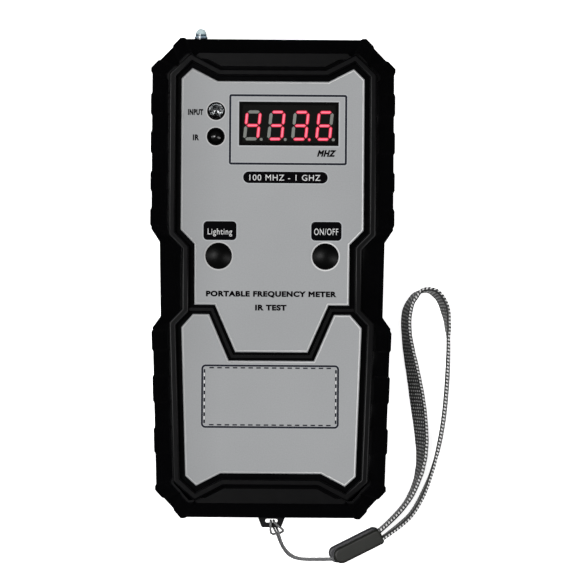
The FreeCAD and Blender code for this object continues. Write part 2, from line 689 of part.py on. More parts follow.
def make_battery():
    body = box((-BATTERY_HALF, BATTERY_HALF), (BATTERY_LOW, BATTERY_BODY_HIGH), (BATTERY_UNDER, BATTERY_TOP))
    long_edges = [edge for edge in body.Edges if edge.BoundBox.YLength > 1]
    return body.makeFillet(1.6, long_edges)


def upright_disc(x, radius, low, high):
    """Short cylinder along Y at the middle height of the battery."""
    middle = (BATTERY_UNDER + BATTERY_TOP) / 2
    return Part.makeCylinder(radius, high - low, V(x, low, middle), V(0, 1, 0))


def make_terminals():
    stud = upright_disc(-TERMINAL_X, 2.85, -19.7, -17.7)
    cup = upright_disc(TERMINAL_X, 4.2, -19.7, -17.7).cut(upright_disc(TERMINAL_X, 3.1, -19.2, -17))
    return Part.makeCompound([stud, cup])


def make_snap():
    middle = (BATTERY_UNDER + BATTERY_TOP) / 2
    return box((-12.5, 12.5), (-17.5, -15.0), (middle - 5, middle + 5))


def make_snap_contacts():
    ring = upright_disc(-TERMINAL_X, 4.1, -19.6, -17.5).cut(upright_disc(-TERMINAL_X, 3.0, -20, -17))
    stud = upright_disc(TERMINAL_X, 2.8, -19.1, -17.5)
    return Part.makeCompound([ring, stud])


def make_lead(x):
    """Short wire from the snap, through the bay wall, into the board header."""
    middle = (BATTERY_UNDER + BATTERY_TOP) / 2
    route = [V(x, -15.0, middle + 4.2), V(x, -13.0, middle + 4.2), V(x, -11.0, 17.2), V(x, -9.0, 17.2)]
    return swept(route, Part.makeCircle(0.65))


def make_header():
    return box((-4.5, 4.5), (-9.0, -5.2), (BOARD_TOP, 20.0))


def rounded_path(points, closed_radii):
    """Straight runs joined by tangent arcs, each as large as its two runs allow."""
    edges = []
    last = points[0]
    for index in range(1, len(points) - 1):
        corner = points[index]
        back = points[index - 1] - corner
        ahead = points[index + 1] - corner
        tangent = ARC_SHARE * min(back.Length, ahead.Length)
        back.normalize()
        ahead.normalize()
        turn = math.pi - back.getAngle(ahead)
        radius = tangent / math.tan(turn / 2)
        closed_radii.append(round(radius, 1))
        inward = back + ahead
        inward.normalize()
        start = corner + back * tangent
        end = corner + ahead * tangent
        middle = corner + inward * (radius / math.cos(turn / 2) - radius)
        edges.append(Part.LineSegment(last, start).toShape())
        edges.append(Part.Arc(start, middle, end).toShape())
        last = end
    edges.append(Part.LineSegment(last, points[-1]).toShape())
    return Part.Wire(edges)


def swept(points, section):
    """Solid along a rounded route; the section is drawn about +Z at the origin."""
    radii = []
    path = rounded_path(points, radii)
    heading = points[1] - points[0]
    turn = FreeCAD.Rotation(V(0, 0, 1), heading)
    profile = Part.Wire(section) if not isinstance(section, Part.Wire) else section
    profile.Placement = FreeCAD.Placement(points[0], turn)
    solid = path.makePipeShell([profile], True, False)
    area = Part.Face(profile).Area
    print("route radii", radii, "length", round(path.Length, 2),
          "volume ratio", round(solid.Volume / (area * path.Length), 3))
    return solid


def make_string():
    """One strand from the clip, round the lug's bar as a hitch, and back to the clip."""
    points = [V(*point) for point in STRING_ROUTE]
    return swept(points, Part.makeCircle(STRING_DIAMETER / 2))


def clip_half(size, shift, rounding):
    """Half of the clip: a flat bar with rounded corners, softer at its string end."""
    length, width, low, high = size
    half = box((-length / 2, length / 2), (-width / 2, width / 2), (low, high))
    for side, radius in zip((-1, 1), rounding):
        corners = [edge for edge in half.Edges
                   if abs(edge.BoundBox.Center.x - side * length / 2) < 0.01 and edge.BoundBox.YLength < 0.01
                   and edge.BoundBox.ZLength > 1]
        half = half.makeFillet(radius, corners)
    half.translate(V(shift[0], shift[1], 0))
    half.rotate(V(0, 0, 0), V(0, 0, 1), CLIP_ANGLE)
    half.translate(V(CLIP_CENTRE[0], CLIP_CENTRE[1], 0))
    return half


def make_webbing():
    """Flat webbing standing on its long edge, from the clip and back to it."""
    middle = WEB_UNDER + WEB_WIDTH / 2
    points = [V(x, y, middle) for x, y in WEB_ROUTE]
    radii = []
    path = rounded_path(points, radii)
    heading = direction(WEB_ROUTE[0], WEB_ROUTE[1])
    side = V(-heading[1], heading[0], 0) * (WEB_THICKNESS / 2)
    rise = V(0, 0, WEB_WIDTH / 2)
    corners = [points[0] + side + rise, points[0] - side + rise,
               points[0] - side - rise, points[0] + side - rise]
    profile = Part.makePolygon(corners + corners[:1])
    solid = path.makePipeShell([profile], True, False)
    ratio = solid.Volume / (WEB_THICKNESS * WEB_WIDTH * path.Length)
    print("webbing radii", radii, "length", round(path.Length, 2), "volume ratio", round(ratio, 3))
    return solid


def make_parts():
    processor, processor_legs = make_chip((0, 19.5), (7.5, 13.0), 2.6, 10)
    prescaler, prescaler_legs = make_chip((-14, 20.5), (3.9, 5.0), 1.75, 4)
    parts = {
        "front_shell": make_front_shell(),
        "rear_shell": make_rear_shell(),
        "upper_faceplate": make_upper_faceplate(),
        "lower_faceplate": make_lower_faceplate(),
        "display_housing": make_display_housing(),
        "display_face": make_display_face(),
        "display_segments_lit": make_segments(True),
        "display_segments_dark": make_segments(False),
        "display_pins": make_display_pins(),
        "input_lamp": make_lamp(INPUT_LAMP),
        "input_lamp_leads": make_lamp_leads(INPUT_LAMP),
        "ir_receiver": make_lamp(IR_RECEIVER),
        "ir_receiver_leads": make_lamp_leads(IR_RECEIVER),
        "torch_lamp": make_torch_lamp(),
        "torch_lamp_leads": make_torch_leads(),
        "main_board": make_main_board(),
        "processor_chip": processor,
        "prescaler_chip": prescaler,
        "chip_legs": Part.makeCompound(processor_legs + prescaler_legs),
        "crystal": make_crystal(),
        "voltage_regulator": make_regulator(),
        "capacitors": make_capacitors(),
        "resistors": make_resistors(),
        "digit_transistors": make_transistors(),
        "pickup_coil_core": make_coil_core(),
        "pickup_coil_winding": make_coil_winding(),
        "board_screws": make_board_screws(),
        "case_screws": make_case_screws(),
        "battery": make_battery(),
        "battery_terminals": make_terminals(),
        "battery_snap": make_snap(),
        "snap_contacts": make_snap_contacts(),
        "battery_lead_red": make_lead(-2.0),
        "battery_lead_black": make_lead(2.0),
        "battery_header": make_header(),
        "battery_door": make_battery_door(),
        "door_screw": make_door_screw(),
        "battery_pad": make_battery_pad(),
        "strap_string": make_string(),
        "strap_clip_front": clip_half(CLIP_FRONT, CLIP_FRONT_SHIFT, CLIP_FRONT_ROUND),
        "strap_clip_back": clip_half(CLIP_BACK, CLIP_BACK_SHIFT, CLIP_BACK_ROUND),
        "strap_webbing": make_webbing(),
    }
    for name, x in BUTTONS.items():
        parts[name + "_button"] = make_button(x)
        parts[name + "_plunger"] = make_plunger(x)
        parts[name + "_switch_body"] = make_switch_body(x)
        parts[name + "_switch_cover"] = make_switch_cover(x)
    return parts


os.makedirs("parts", exist_ok=True)
for part_name, shape in make_parts().items():
    shape.exportStep("parts/" + part_name + ".step")
    print(part_name, len(shape.Solids), shape.isValid(), round(shape.Volume, 1))
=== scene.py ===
import math

import bmesh
import bpy
from mathutils import Matrix, Vector


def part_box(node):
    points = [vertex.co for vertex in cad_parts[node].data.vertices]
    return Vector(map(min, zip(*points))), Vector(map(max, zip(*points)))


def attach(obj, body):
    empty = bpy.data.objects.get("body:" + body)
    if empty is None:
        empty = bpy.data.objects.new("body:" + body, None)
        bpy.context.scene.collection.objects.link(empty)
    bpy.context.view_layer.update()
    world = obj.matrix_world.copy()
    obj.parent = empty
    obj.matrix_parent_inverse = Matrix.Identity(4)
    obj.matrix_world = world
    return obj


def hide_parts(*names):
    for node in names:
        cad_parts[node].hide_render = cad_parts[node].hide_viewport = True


# Handheld frequency counter lying on its back, seen straight from above.
# Metres; lengths written in millimetres are turned into metres with MM.

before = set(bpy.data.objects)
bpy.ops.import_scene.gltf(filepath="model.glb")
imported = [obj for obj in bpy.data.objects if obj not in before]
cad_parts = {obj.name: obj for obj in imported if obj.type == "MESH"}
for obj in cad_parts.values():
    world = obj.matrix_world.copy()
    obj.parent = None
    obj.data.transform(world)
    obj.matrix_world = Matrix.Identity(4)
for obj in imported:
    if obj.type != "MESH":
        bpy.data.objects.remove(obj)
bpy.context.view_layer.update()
MM = 0.001

PLATE_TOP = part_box("upper_faceplate")[1].z


# ---------------------------------------------------------------- node helpers

def new_material(name):
    """Material with a Principled shader; returns it, its tree and the shader."""
    material = bpy.data.materials.new(name)
    material.use_nodes = True
    tree = material.node_tree
    return material, tree, tree.nodes["Principled BSDF"]


def node(tree, kind, values=None, **settings):
    """Node of one kind, with its attributes and input values set."""
    made = tree.nodes.new(kind)
    for key, value in settings.items():
        setattr(made, key, value)
    for key, value in (values or {}).items():
        made.inputs[key].default_value = value
    return made


def link(tree, source, output, target, entry):
    tree.links.new(source.outputs[output], target.inputs[entry])


def object_place(tree, scale=(1, 1, 1)):
    """Object coordinates, scaled along each axis."""
    place = node(tree, "ShaderNodeTexCoord")
    mapping = node(tree, "ShaderNodeMapping", {"Scale": scale})
    link(tree, place, "Object", mapping, "Vector")
    return mapping


def noise(tree, place, scale, detail=3.0, roughness=0.5):
    made = node(tree, "ShaderNodeTexNoise", {"Scale": scale, "Detail": detail, "Roughness": roughness})
    link(tree, place, "Vector", made, "Vector")
    return made


def ramp(tree, source, output, stops):
    """Colour ramp fed by a value; stops are (position, colour)."""
    made = node(tree, "ShaderNodeValToRGB")
    elements = made.color_ramp.elements
    while len(elements) < len(stops):
        elements.new(0.5)
    for element, (position, colour) in zip(elements, stops):
        element.position = position
        element.color = colour if len(colour) == 4 else (*colour, 1.0)
    link(tree, source, output, made, "Fac")
    return made


def value_range(tree, source, output, low, high):
    made = node(tree, "ShaderNodeMapRange", {"To Min": low, "To Max": high})
    link(tree, source, output, made, "Value")
    return made


def bump(tree, shader, source, output, strength, distance):
    """Bump on a shader from a height value."""
    made = node(tree, "ShaderNodeBump", {"Strength": strength, "Distance": distance})
    link(tree, source, output, made, "Height")
    link(tree, made, "Normal", shader, "Normal")


def grey(level):
    return (level, level, level)


# ---------------------------------------------------------------- materials

MOTTLE_SCALE = 90.0
WEAR_SCALE = 420.0


def mould_grain(tree, shader, place, grain, grain_depth, coat, gloss):
    """Fine spark-eroded grain, coat and gloss of a moulded plastic."""
    fine = noise(tree, place, grain, 2.0, 0.6)
    bump(tree, shader, fine, "Fac", 0.35, grain_depth)
    shader.inputs["Coat Weight"].default_value = coat
    shader.inputs["Coat Roughness"].default_value = 0.3
    shader.inputs["Specular IOR Level"].default_value = gloss


def textured_plastic(name, dark, light, rough, grain, grain_depth, coat=0.0, gloss=0.4):
    """Moulded plastic: faint mottling, fine grain, uneven sheen."""
    material, tree, shader = new_material(name)
    place = object_place(tree)
    mottle = noise(tree, place, MOTTLE_SCALE, 4.0)
    colour = ramp(tree, mottle, "Fac", [(0.3, dark), (0.75, light)])
    link(tree, colour, "Color", shader, "Base Color")
    wear = noise(tree, place, WEAR_SCALE, 3.0)
    rough_range = value_range(tree, wear, "Fac", rough - 0.06, rough + 0.08)
    link(tree, rough_range, "Result", shader, "Roughness")
    mould_grain(tree, shader, place, grain, grain_depth, coat, gloss)
    return material


CASE_GRAIN = 4000.0
CASE_GRAIN_DEPTH = 0.006 * MM
CASE_GLOSS = 0.12
# Side colours are the case plastic lightened with painted sheen; top colours are the same plastic without it.
SHEENED_SIDE_DARK, SHEENED_SIDE_LIGHT = (0.0045, 0.0045, 0.005), (0.0075, 0.0075, 0.0082)
TOP_DARK, TOP_LIGHT = (0.0003, 0.0003, 0.0005), (0.0006, 0.0006, 0.0009)
# Heights between which the case turns from sheen to satin, and from its side colour, lightened by painted
# sheen, to its darker top colour.
SATIN_FROM, SATIN_TO = 23.9 * MM, 24.15 * MM
SHEEN_FADE_FROM, SHEEN_FADE_TO = 16.0 * MM, 19.0 * MM


def case_front_material():
    """Case plastic: its sides lighter than its top with painted sheen, glossier on the slopes than on the
    level ridge.
    """
    material, tree, shader = new_material("case_front_plastic")
    place = object_place(tree)
    mould_grain(tree, shader, place, CASE_GRAIN, CASE_GRAIN_DEPTH, 0.0, CASE_GLOSS)
    parts = node(tree, "ShaderNodeSeparateXYZ")
    link(tree, place, "Vector", parts, "Vector")
    height = node(tree, "ShaderNodeMapRange", {"From Min": SATIN_FROM, "From Max": SATIN_TO,
                                               "To Min": 0.17, "To Max": 0.31})
    link(tree, parts, "Z", height, "Value")
    wear = noise(tree, place, WEAR_SCALE, 3.0)
    uneven = value_range(tree, wear, "Fac", -0.03, 0.03)
    rough = node(tree, "ShaderNodeMath", operation="ADD")
    link(tree, height, "Result", rough, 0)
    link(tree, uneven, "Result", rough, 1)
    link(tree, rough, "Value", shader, "Roughness")
    mottle = noise(tree, place, MOTTLE_SCALE, 4.0)
    # Painted sheen: the side ramp is lighter than the top ramp of the same plastic.
    side = ramp(tree, mottle, "Fac", [(0.3, SHEENED_SIDE_DARK), (0.75, SHEENED_SIDE_LIGHT)])
    top = ramp(tree, mottle, "Fac", [(0.3, TOP_DARK), (0.75, TOP_LIGHT)])
    side_sheen_fade = node(tree, "ShaderNodeMapRange", {"From Min": SHEEN_FADE_FROM, "From Max": SHEEN_FADE_TO})
    link(tree, parts, "Z", side_sheen_fade, "Value")
    mix = node(tree, "ShaderNodeMix", data_type="RGBA")
    link(tree, side_sheen_fade, "Result", mix, "Factor")
    link(tree, side, "Color", mix, "A")
    link(tree, top, "Color", mix, "B")
    link(tree, mix, "Result", shader, "Base Color")
    return material


# Painted shade: the panel colour darkens toward its left edge between these places.
LEFT_SHADE_FROM, LEFT_SHADE_TO = -29 * MM, -15 * MM
LEFT_SHADE_TONE = 0.84


def panel_material():
    """Satin grey panel: fine even speckle, with painted shade darkening it toward its left side."""
    material, tree, shader = new_material("panel_grey")
    place = object_place(tree)
    cloud = noise(tree, place, 28.0, 3.0)
    speck = noise(tree, place, 2600.0, 2.0)
    base = ramp(tree, cloud, "Fac", [(0.3, (0.256, 0.262, 0.268)), (0.7, (0.276, 0.282, 0.288))])
    mix = node(tree, "ShaderNodeMix", {"Factor": 0.1}, data_type="RGBA", blend_type="OVERLAY")
    link(tree, base, "Color", mix, "A")
    link(tree, speck, "Fac", mix, "B")
    parts = node(tree, "ShaderNodeSeparateXYZ")
    link(tree, place, "Vector", parts, "Vector")
    left_shade = node(tree, "ShaderNodeMapRange", {"From Min": LEFT_SHADE_FROM, "From Max": LEFT_SHADE_TO, "To Min": LEFT_SHADE_TONE})
    link(tree, parts, "X", left_shade, "Value")
    left_shaded = node(tree, "ShaderNodeVectorMath", operation="SCALE")
    link(tree, mix, "Result", left_shaded, "Vector")
    link(tree, left_shade, "Result", left_shaded, "Scale")
    link(tree, left_shaded, "Vector", shader, "Base Color")
    rough_range = value_range(tree, cloud, "Fac", 0.4, 0.5)
    link(tree, rough_range, "Result", shader, "Roughness")
    bump(tree, shader, speck, "Fac", 0.2, 0.02 * MM)
    shader.inputs["Specular IOR Level"].default_value = 0.4
    return material


def metal_material(name, colour, rough, scratch):
    """Plated or brushed metal with fine uneven scratches."""
    material, tree, shader = new_material(name)
    place = object_place(tree, scratch)
    grain = noise(tree, place, 900.0, 4.0)
    tint = ramp(tree, grain, "Fac", [(0.3, [c * 0.8 for c in colour]), (0.7, colour)])
    link(tree, tint, "Color", shader, "Base Color")
    rough_range = value_range(tree, grain, "Fac", rough - 0.08, rough + 0.1)
    link(tree, rough_range, "Result", shader, "Roughness")
    bump(tree, shader, grain, "Fac", 0.2, 0.01 * MM)
    shader.inputs["Metallic"].default_value = 1.0
    return material


def glow_material(name, core, strength):
    """Lit LED segment, slightly uneven in brightness."""
    material, tree, shader = new_material(name)
    place = object_place(tree)
    uneven = noise(tree, place, 700.0, 2.0)
    light = ramp(tree, uneven, "Fac", [(0.25, [c * 0.86 for c in core]), (0.75, core)])
    link(tree, light, "Color", shader, "Emission Color")
    link(tree, light, "Color", shader, "Base Color")
    shader.inputs["Emission Strength"].default_value = strength
    shader.inputs["Roughness"].default_value = 0.4
    return material


def clear_material(name, tint, rough):
    """Clear cast epoxy with faint ripples."""
    material, tree, shader = new_material(name)
    place = object_place(tree)
    ripple = noise(tree, place, 500.0, 2.0)
    colour = ramp(tree, ripple, "Fac", [(0.0, [c * 0.97 for c in tint]), (1.0, tint)])
    link(tree, colour, "Color", shader, "Base Color")
    bump(tree, shader, ripple, "Fac", 0.1, 0.02 * MM)
    shader.inputs["Roughness"].default_value = rough
    shader.inputs["Transmission Weight"].default_value = 1.0
    shader.inputs["IOR"].default_value = 1.5
    return material


def ink_material(name, colour, gloss=0.1):
    """Screen-printed ink with slightly uneven cover."""
    material, tree, shader = new_material(name)
    place = object_place(tree)
    cover = noise(tree, place, 1800.0, 3.0)
    tint = ramp(tree, cover, "Fac", [(0.3, colour), (0.8, [c * 1.2 for c in colour])])
    link(tree, tint, "Color", shader, "Base Color")
    shader.inputs["Roughness"].default_value = 0.6
    shader.inputs["Specular IOR Level"].default_value = gloss
    return material


# Painted highlight along the panel's edges: dimmer on the left, brightest on the right, where the light
# falls.
HIGHLIGHT_LEFT, HIGHLIGHT_RIGHT = -30 * MM, 30 * MM


def painted_edge_highlight_material():
    """Painted highlight along the panel's edges, brighter toward its right side, where the light falls."""
    material, tree, shader = new_material("panel_edge_painted_highlight")
    place = object_place(tree)
    parts = node(tree, "ShaderNodeSeparateXYZ")
    link(tree, place, "Vector", parts, "Vector")
    across = node(tree, "ShaderNodeMapRange", {"From Min": HIGHLIGHT_LEFT, "From Max": HIGHLIGHT_RIGHT})
    link(tree, parts, "X", across, "Value")
    colour = ramp(tree, across, "Result", [(0.05, grey(0.36)), (0.5, grey(0.44)), (0.95, grey(0.62))])
    link(tree, colour, "Color", shader, "Base Color")
    wear = noise(tree, place, 900.0, 3.0)
    rough_range = value_range(tree, wear, "Fac", 0.3, 0.45)
    link(tree, rough_range, "Result", shader, "Roughness")
    return material


# Ends of the painted reflection and shade bands along the torch lens.
PAINTED_BANDS_BACK, PAINTED_BANDS_FRONT = 72.5 * MM, 75.7 * MM


def torch_lens_painted_reflection_material():
    """Water-clear lamp body seen from its side: painted reflections and painted shade in dark and pale bands
    along its length.
    """
    material, tree, shader = new_material("torch_lens")
    place = object_place(tree)
    parts = node(tree, "ShaderNodeSeparateXYZ")
    link(tree, place, "Vector", parts, "Vector")
    along = node(tree, "ShaderNodeMapRange", {"From Min": PAINTED_BANDS_BACK, "From Max": PAINTED_BANDS_FRONT})
    link(tree, parts, "Y", along, "Value")
    # Painted reflection and shade bands of the clear body.
    painted_reflection_bands = ramp(tree, along, "Result", [
        (0.0, (0.03, 0.04, 0.05)), (0.12, (0.05, 0.07, 0.09)), (0.18, (0.25, 0.32, 0.38)),
        (0.26, (0.22, 0.3, 0.36)), (0.32, (0.03, 0.05, 0.07)), (0.42, (0.05, 0.08, 0.1)),
        (0.52, (0.5, 0.62, 0.66)), (0.7, (0.72, 0.86, 0.88)), (1.0, (0.66, 0.8, 0.84))])
    link(tree, painted_reflection_bands, "Color", shader, "Base Color")
    ripple = noise(tree, place, 500.0, 2.0)
    bump(tree, shader, ripple, "Fac", 0.1, 0.02 * MM)
    shader.inputs["Roughness"].default_value = 0.12
    shader.inputs["Transmission Weight"].default_value = 0.35
    shader.inputs["IOR"].default_value = 1.5
    return material


MATERIALS = {
    # Rear shell and battery door take the side colours, lightened with painted sheen.
    "case": textured_plastic("case_plastic", SHEENED_SIDE_DARK, SHEENED_SIDE_LIGHT, 0.3, CASE_GRAIN, CASE_GRAIN_DEPTH,
                             gloss=CASE_GLOSS),
    "case_front": case_front_material(),
    "panel": panel_material(),
    "button": textured_plastic("button_black", grey(0.001), grey(0.0018), 0.35, 3000.0, 0.006 * MM,
                               gloss=0.07),
    "frame_black": textured_plastic("display_black", grey(0.0005), grey(0.001), 0.4, 2000.0, 0.01 * MM,
                                    gloss=0.03),
    "face": textured_plastic("display_face", (0.003, 0.003, 0.0026), (0.004, 0.004, 0.0035), 0.4, 2000.0,
                             0.01 * MM, gloss=0.04),
    "lit": glow_material("segment_rim", (0.44, 0.007, 0.035), 0.75),
    "lit_core": glow_material("segment_core", (0.84, 0.1, 0.165), 0.95),
    "dark_segment": textured_plastic("segment_dark", (0.125, 0.13, 0.118), (0.165, 0.17, 0.155), 0.5, 2500.0,
                                     0.01 * MM),
    "clear": clear_material("lens_clear", (0.93, 0.97, 1.0), 0.04),
    "black_lens": textured_plastic("lens_black", grey(0.001), grey(0.002), 0.2, 1500.0, 0.004 * MM,
                                   gloss=0.3),
    "tin": metal_material("plated_metal", (0.62, 0.61, 0.58), 0.32, (1, 1, 1)),
    "screw": metal_material("screw_steel", (0.3, 0.3, 0.31), 0.35, (1, 4, 1)),
    "board": textured_plastic("board_green", (0.008, 0.07, 0.025), (0.012, 0.1, 0.035), 0.35, 900.0,
                              0.01 * MM, coat=0.5),
    "chip": textured_plastic("chip_black", grey(0.012), grey(0.02), 0.55, 3000.0, 0.02 * MM),
    "resistor": textured_plastic("resistor_black", grey(0.02), grey(0.035), 0.35, 3000.0, 0.01 * MM),
    "capacitor": textured_plastic("capacitor_blue", (0.008, 0.016, 0.07), (0.012, 0.024, 0.1), 0.3, 900.0,
                                  0.01 * MM),
    "switch": textured_plastic("switch_black", grey(0.015), grey(0.025), 0.5, 2500.0, 0.01 * MM),
    "copper": metal_material("winding_copper", (0.6, 0.22, 0.08), 0.3, (12, 1, 1)),
    "ferrite": textured_plastic("ferrite", grey(0.03), grey(0.05), 0.6, 1500.0, 0.02 * MM),
    "jacket": metal_material("battery_jacket", (0.1, 0.12, 0.16), 0.4, (1, 6, 1)),
    "vinyl": textured_plastic("snap_vinyl", grey(0.012), grey(0.02), 0.45, 1200.0, 0.01 * MM),
    "red_wire": textured_plastic("wire_red", (0.3, 0.008, 0.008), (0.4, 0.012, 0.012), 0.35, 1500.0,
                                 0.01 * MM),
    "black_wire": textured_plastic("wire_black", grey(0.01), grey(0.016), 0.35, 1500.0, 0.01 * MM),
    "nylon": textured_plastic("header_white", (0.6, 0.57, 0.5), (0.68, 0.65, 0.58), 0.45, 1500.0, 0.01 * MM),
    "foam": textured_plastic("foam_black", grey(0.01), grey(0.03), 0.9, 1400.0, 0.12 * MM),
    "clip": textured_plastic("clip_plastic", (0.013, 0.0135, 0.0115), (0.017, 0.0175, 0.015), 0.42, 2600.0,
                             0.01 * MM, gloss=0.25),
    "clip_back": textured_plastic("clip_back_plastic", (0.03, 0.03, 0.034), (0.04, 0.04, 0.045), 0.4, 2600.0,
                                  0.01 * MM),
    "torch_lens": torch_lens_painted_reflection_material(),
    "ink_black": ink_material("ink_black", (0.0008, 0.0008, 0.0012), 0.02),
    "ink_pale": ink_material("ink_pale", (0.34, 0.35, 0.36)),
    "ink_line": ink_material("ink_line", (0.008, 0.009, 0.015)),
    "ink_words": ink_material("ink_words", (0.5, 0.5, 0.5)),
    # Painted highlight for the panel's edges and the rims of its holes.
    "painted_edge_highlight": painted_edge_highlight_material(),
    "lamp_dark": textured_plastic("lamp_dark", grey(0.002), grey(0.004), 0.4, 2000.0, 0.01 * MM),
    "lamp_shade": textured_plastic("lamp_shade", grey(0.06), grey(0.09), 0.4, 2000.0, 0.01 * MM),
    # Pale colours of the lamp's metal arc and posts: painted reflections.
    "lamp_reflection_grey": textured_plastic("lamp_reflection_grey", grey(0.5), grey(0.65), 0.4, 2000.0, 0.01 * MM),
    "lamp_reflection_white": textured_plastic("lamp_reflection_white", grey(0.6), grey(0.7), 0.4, 2000.0, 0.01 * MM),
}

CAD_MATERIALS = {
    "front_shell": "case_front", "rear_shell": "case", "battery_door": "case",
    "upper_faceplate": "panel", "lower_faceplate": "panel",
    "lighting_button": "button", "power_button": "button",
    "display_housing": "frame_black", "display_face": "face",
    "display_segments_lit": "lit", "display_segments_dark": "dark_segment",
    "display_pins": "tin", "input_lamp": "clear", "torch_lamp": "torch_lens", "ir_receiver": "black_lens",
    "input_lamp_leads": "tin", "ir_receiver_leads": "tin", "torch_lamp_leads": "tin",
    "main_board": "board", "processor_chip": "chip", "prescaler_chip": "chip", "chip_legs": "tin",
    "crystal": "tin", "voltage_regulator": "chip", "capacitors": "capacitor", "resistors": "resistor",
    "digit_transistors": "chip", "pickup_coil_core": "ferrite", "pickup_coil_winding": "copper",
    "board_screws": "screw", "case_screws": "screw", "door_screw": "screw",
    "battery": "jacket", "battery_terminals": "tin", "battery_snap": "vinyl", "snap_contacts": "tin",
    "battery_lead_red": "red_wire", "battery_lead_black": "black_wire", "battery_header": "nylon",
    "battery_pad": "foam", "lighting_plunger": "switch", "power_plunger": "switch",
    "lighting_switch_body": "switch", "power_switch_body": "switch",
    "lighting_switch_cover": "tin", "power_switch_cover": "tin",
    "strap_clip_front": "clip", "strap_clip_back": "clip_back",
}


def paint(piece, material):
    piece.data.materials.clear()
    piece.data.materials.append(MATERIALS[material])


for cad_node, material_name in CAD_MATERIALS.items():
    paint(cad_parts[cad_node], material_name)


# ---------------------------------------------------------------- CAD edges

SHELL_EDGE = 0.13 * MM
CLIP_EDGE = 0.85 * MM


def round_edges(name, width, segments=2, angle=24):
    """Small rounded edges on a CAD node, from modifiers only."""
    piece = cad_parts[name]
    weld = piece.modifiers.new("weld", "WELD")
    weld.merge_threshold = 0.004 * MM
    flat = piece.modifiers.new("flat faces", "DECIMATE")
    flat.decimate_type = "DISSOLVE"
    flat.angle_limit = math.radians(1.0)
    bevel = piece.modifiers.new("rounded edges", "BEVEL")
    bevel.width = width
    bevel.segments = segments
    bevel.limit_method = "ANGLE"
    bevel.angle_limit = math.radians(angle)
    bevel.use_clamp_overlap = True
    bevel.harden_normals = False
    bevel.miter_outer = "MITER_ARC"


# ---------------------------------------------------------------- stage

CAMERA_HEIGHT = 2.0
VIEW_WIDTH = 174.24 * MM
VIEW_MIDDLE = (4.91 * MM, -2.87 * MM)
VIEW_TURN = 0.4


def add_camera():
    """Long lens straight above the panel, framed a little wider than the counter and its strap."""
    data = bpy.data.cameras.new("camera")
    data.sensor_width = 36.0
    data.lens = data.sensor_width * (CAMERA_HEIGHT - PLATE_TOP) / VIEW_WIDTH
    data.clip_start = 0.05
    data.clip_end = 20.0
    camera = bpy.data.objects.new("camera", data)
    camera.location = (*VIEW_MIDDLE, CAMERA_HEIGHT)
    camera.rotation_euler = (0, 0, math.radians(VIEW_TURN))
    bpy.context.scene.collection.objects.link(camera)
    bpy.context.scene.camera = camera


def add_light(name, place, size, power):
    """Rectangular white soft box aimed at the origin."""
    data = bpy.data.lights.new(name, "AREA")
    data.shape = "RECTANGLE"
    data.size, data.size_y = size
    data.energy = power
    light = bpy.data.objects.new(name, data)
    light.location = place
    light.rotation_euler = (-Vector(place)).to_track_quat("-Z", "Y").to_euler()
    bpy.context.scene.collection.objects.link(light)


def floor_material():
    """Plain pale paper, bright enough to read as white."""
    material, tree, shader = new_material("floor_white")
    place = object_place(tree)
    cloud = noise(tree, place, 6.0, 2.0)
    tint = ramp(tree, cloud, "Fac", [(0.2, grey(0.93)), (0.8, grey(0.95))])
    link(tree, tint, "Color", shader, "Base Color")
    link(tree, tint, "Color", shader, "Emission Color")
    shader.inputs["Emission Strength"].default_value = 0.95
    shader.inputs["Roughness"].default_value = 0.9
    shader.inputs["Specular IOR Level"].default_value = 0.1
    return material


FLOOR_SIZE = 6.0
FLOOR_DROP = 0.02 * MM
WORLD_GLOW = 0.06


def add_stage():
    """Floor, even background and three soft boxes."""
    bpy.ops.mesh.primitive_plane_add(size=FLOOR_SIZE, location=(0, 0, -FLOOR_DROP))
    floor = bpy.context.object
    floor.name = "floor"
    floor.data.materials.append(floor_material())
    floor.visible_glossy = False
    world = bpy.data.worlds.new("studio")
    world.use_nodes = True
    background = world.node_tree.nodes["Background"]
    background.inputs["Color"].default_value = (1, 1, 1, 1)
    background.inputs["Strength"].default_value = WORLD_GLOW
    bpy.context.scene.world = world
    bpy.context.scene.view_settings.view_transform = "Standard"
    add_light("top_box", (-0.6, 0.15, 1.5), (0.5, 0.5), 15)
    add_light("left_box", (-1.2, 0.0, 1.3), (0.5, 1.6), 12)
    add_light("right_box", (1.3, -0.4, 1.3), (0.5, 1.6), 21)


# ---------------------------------------------------------------- cords

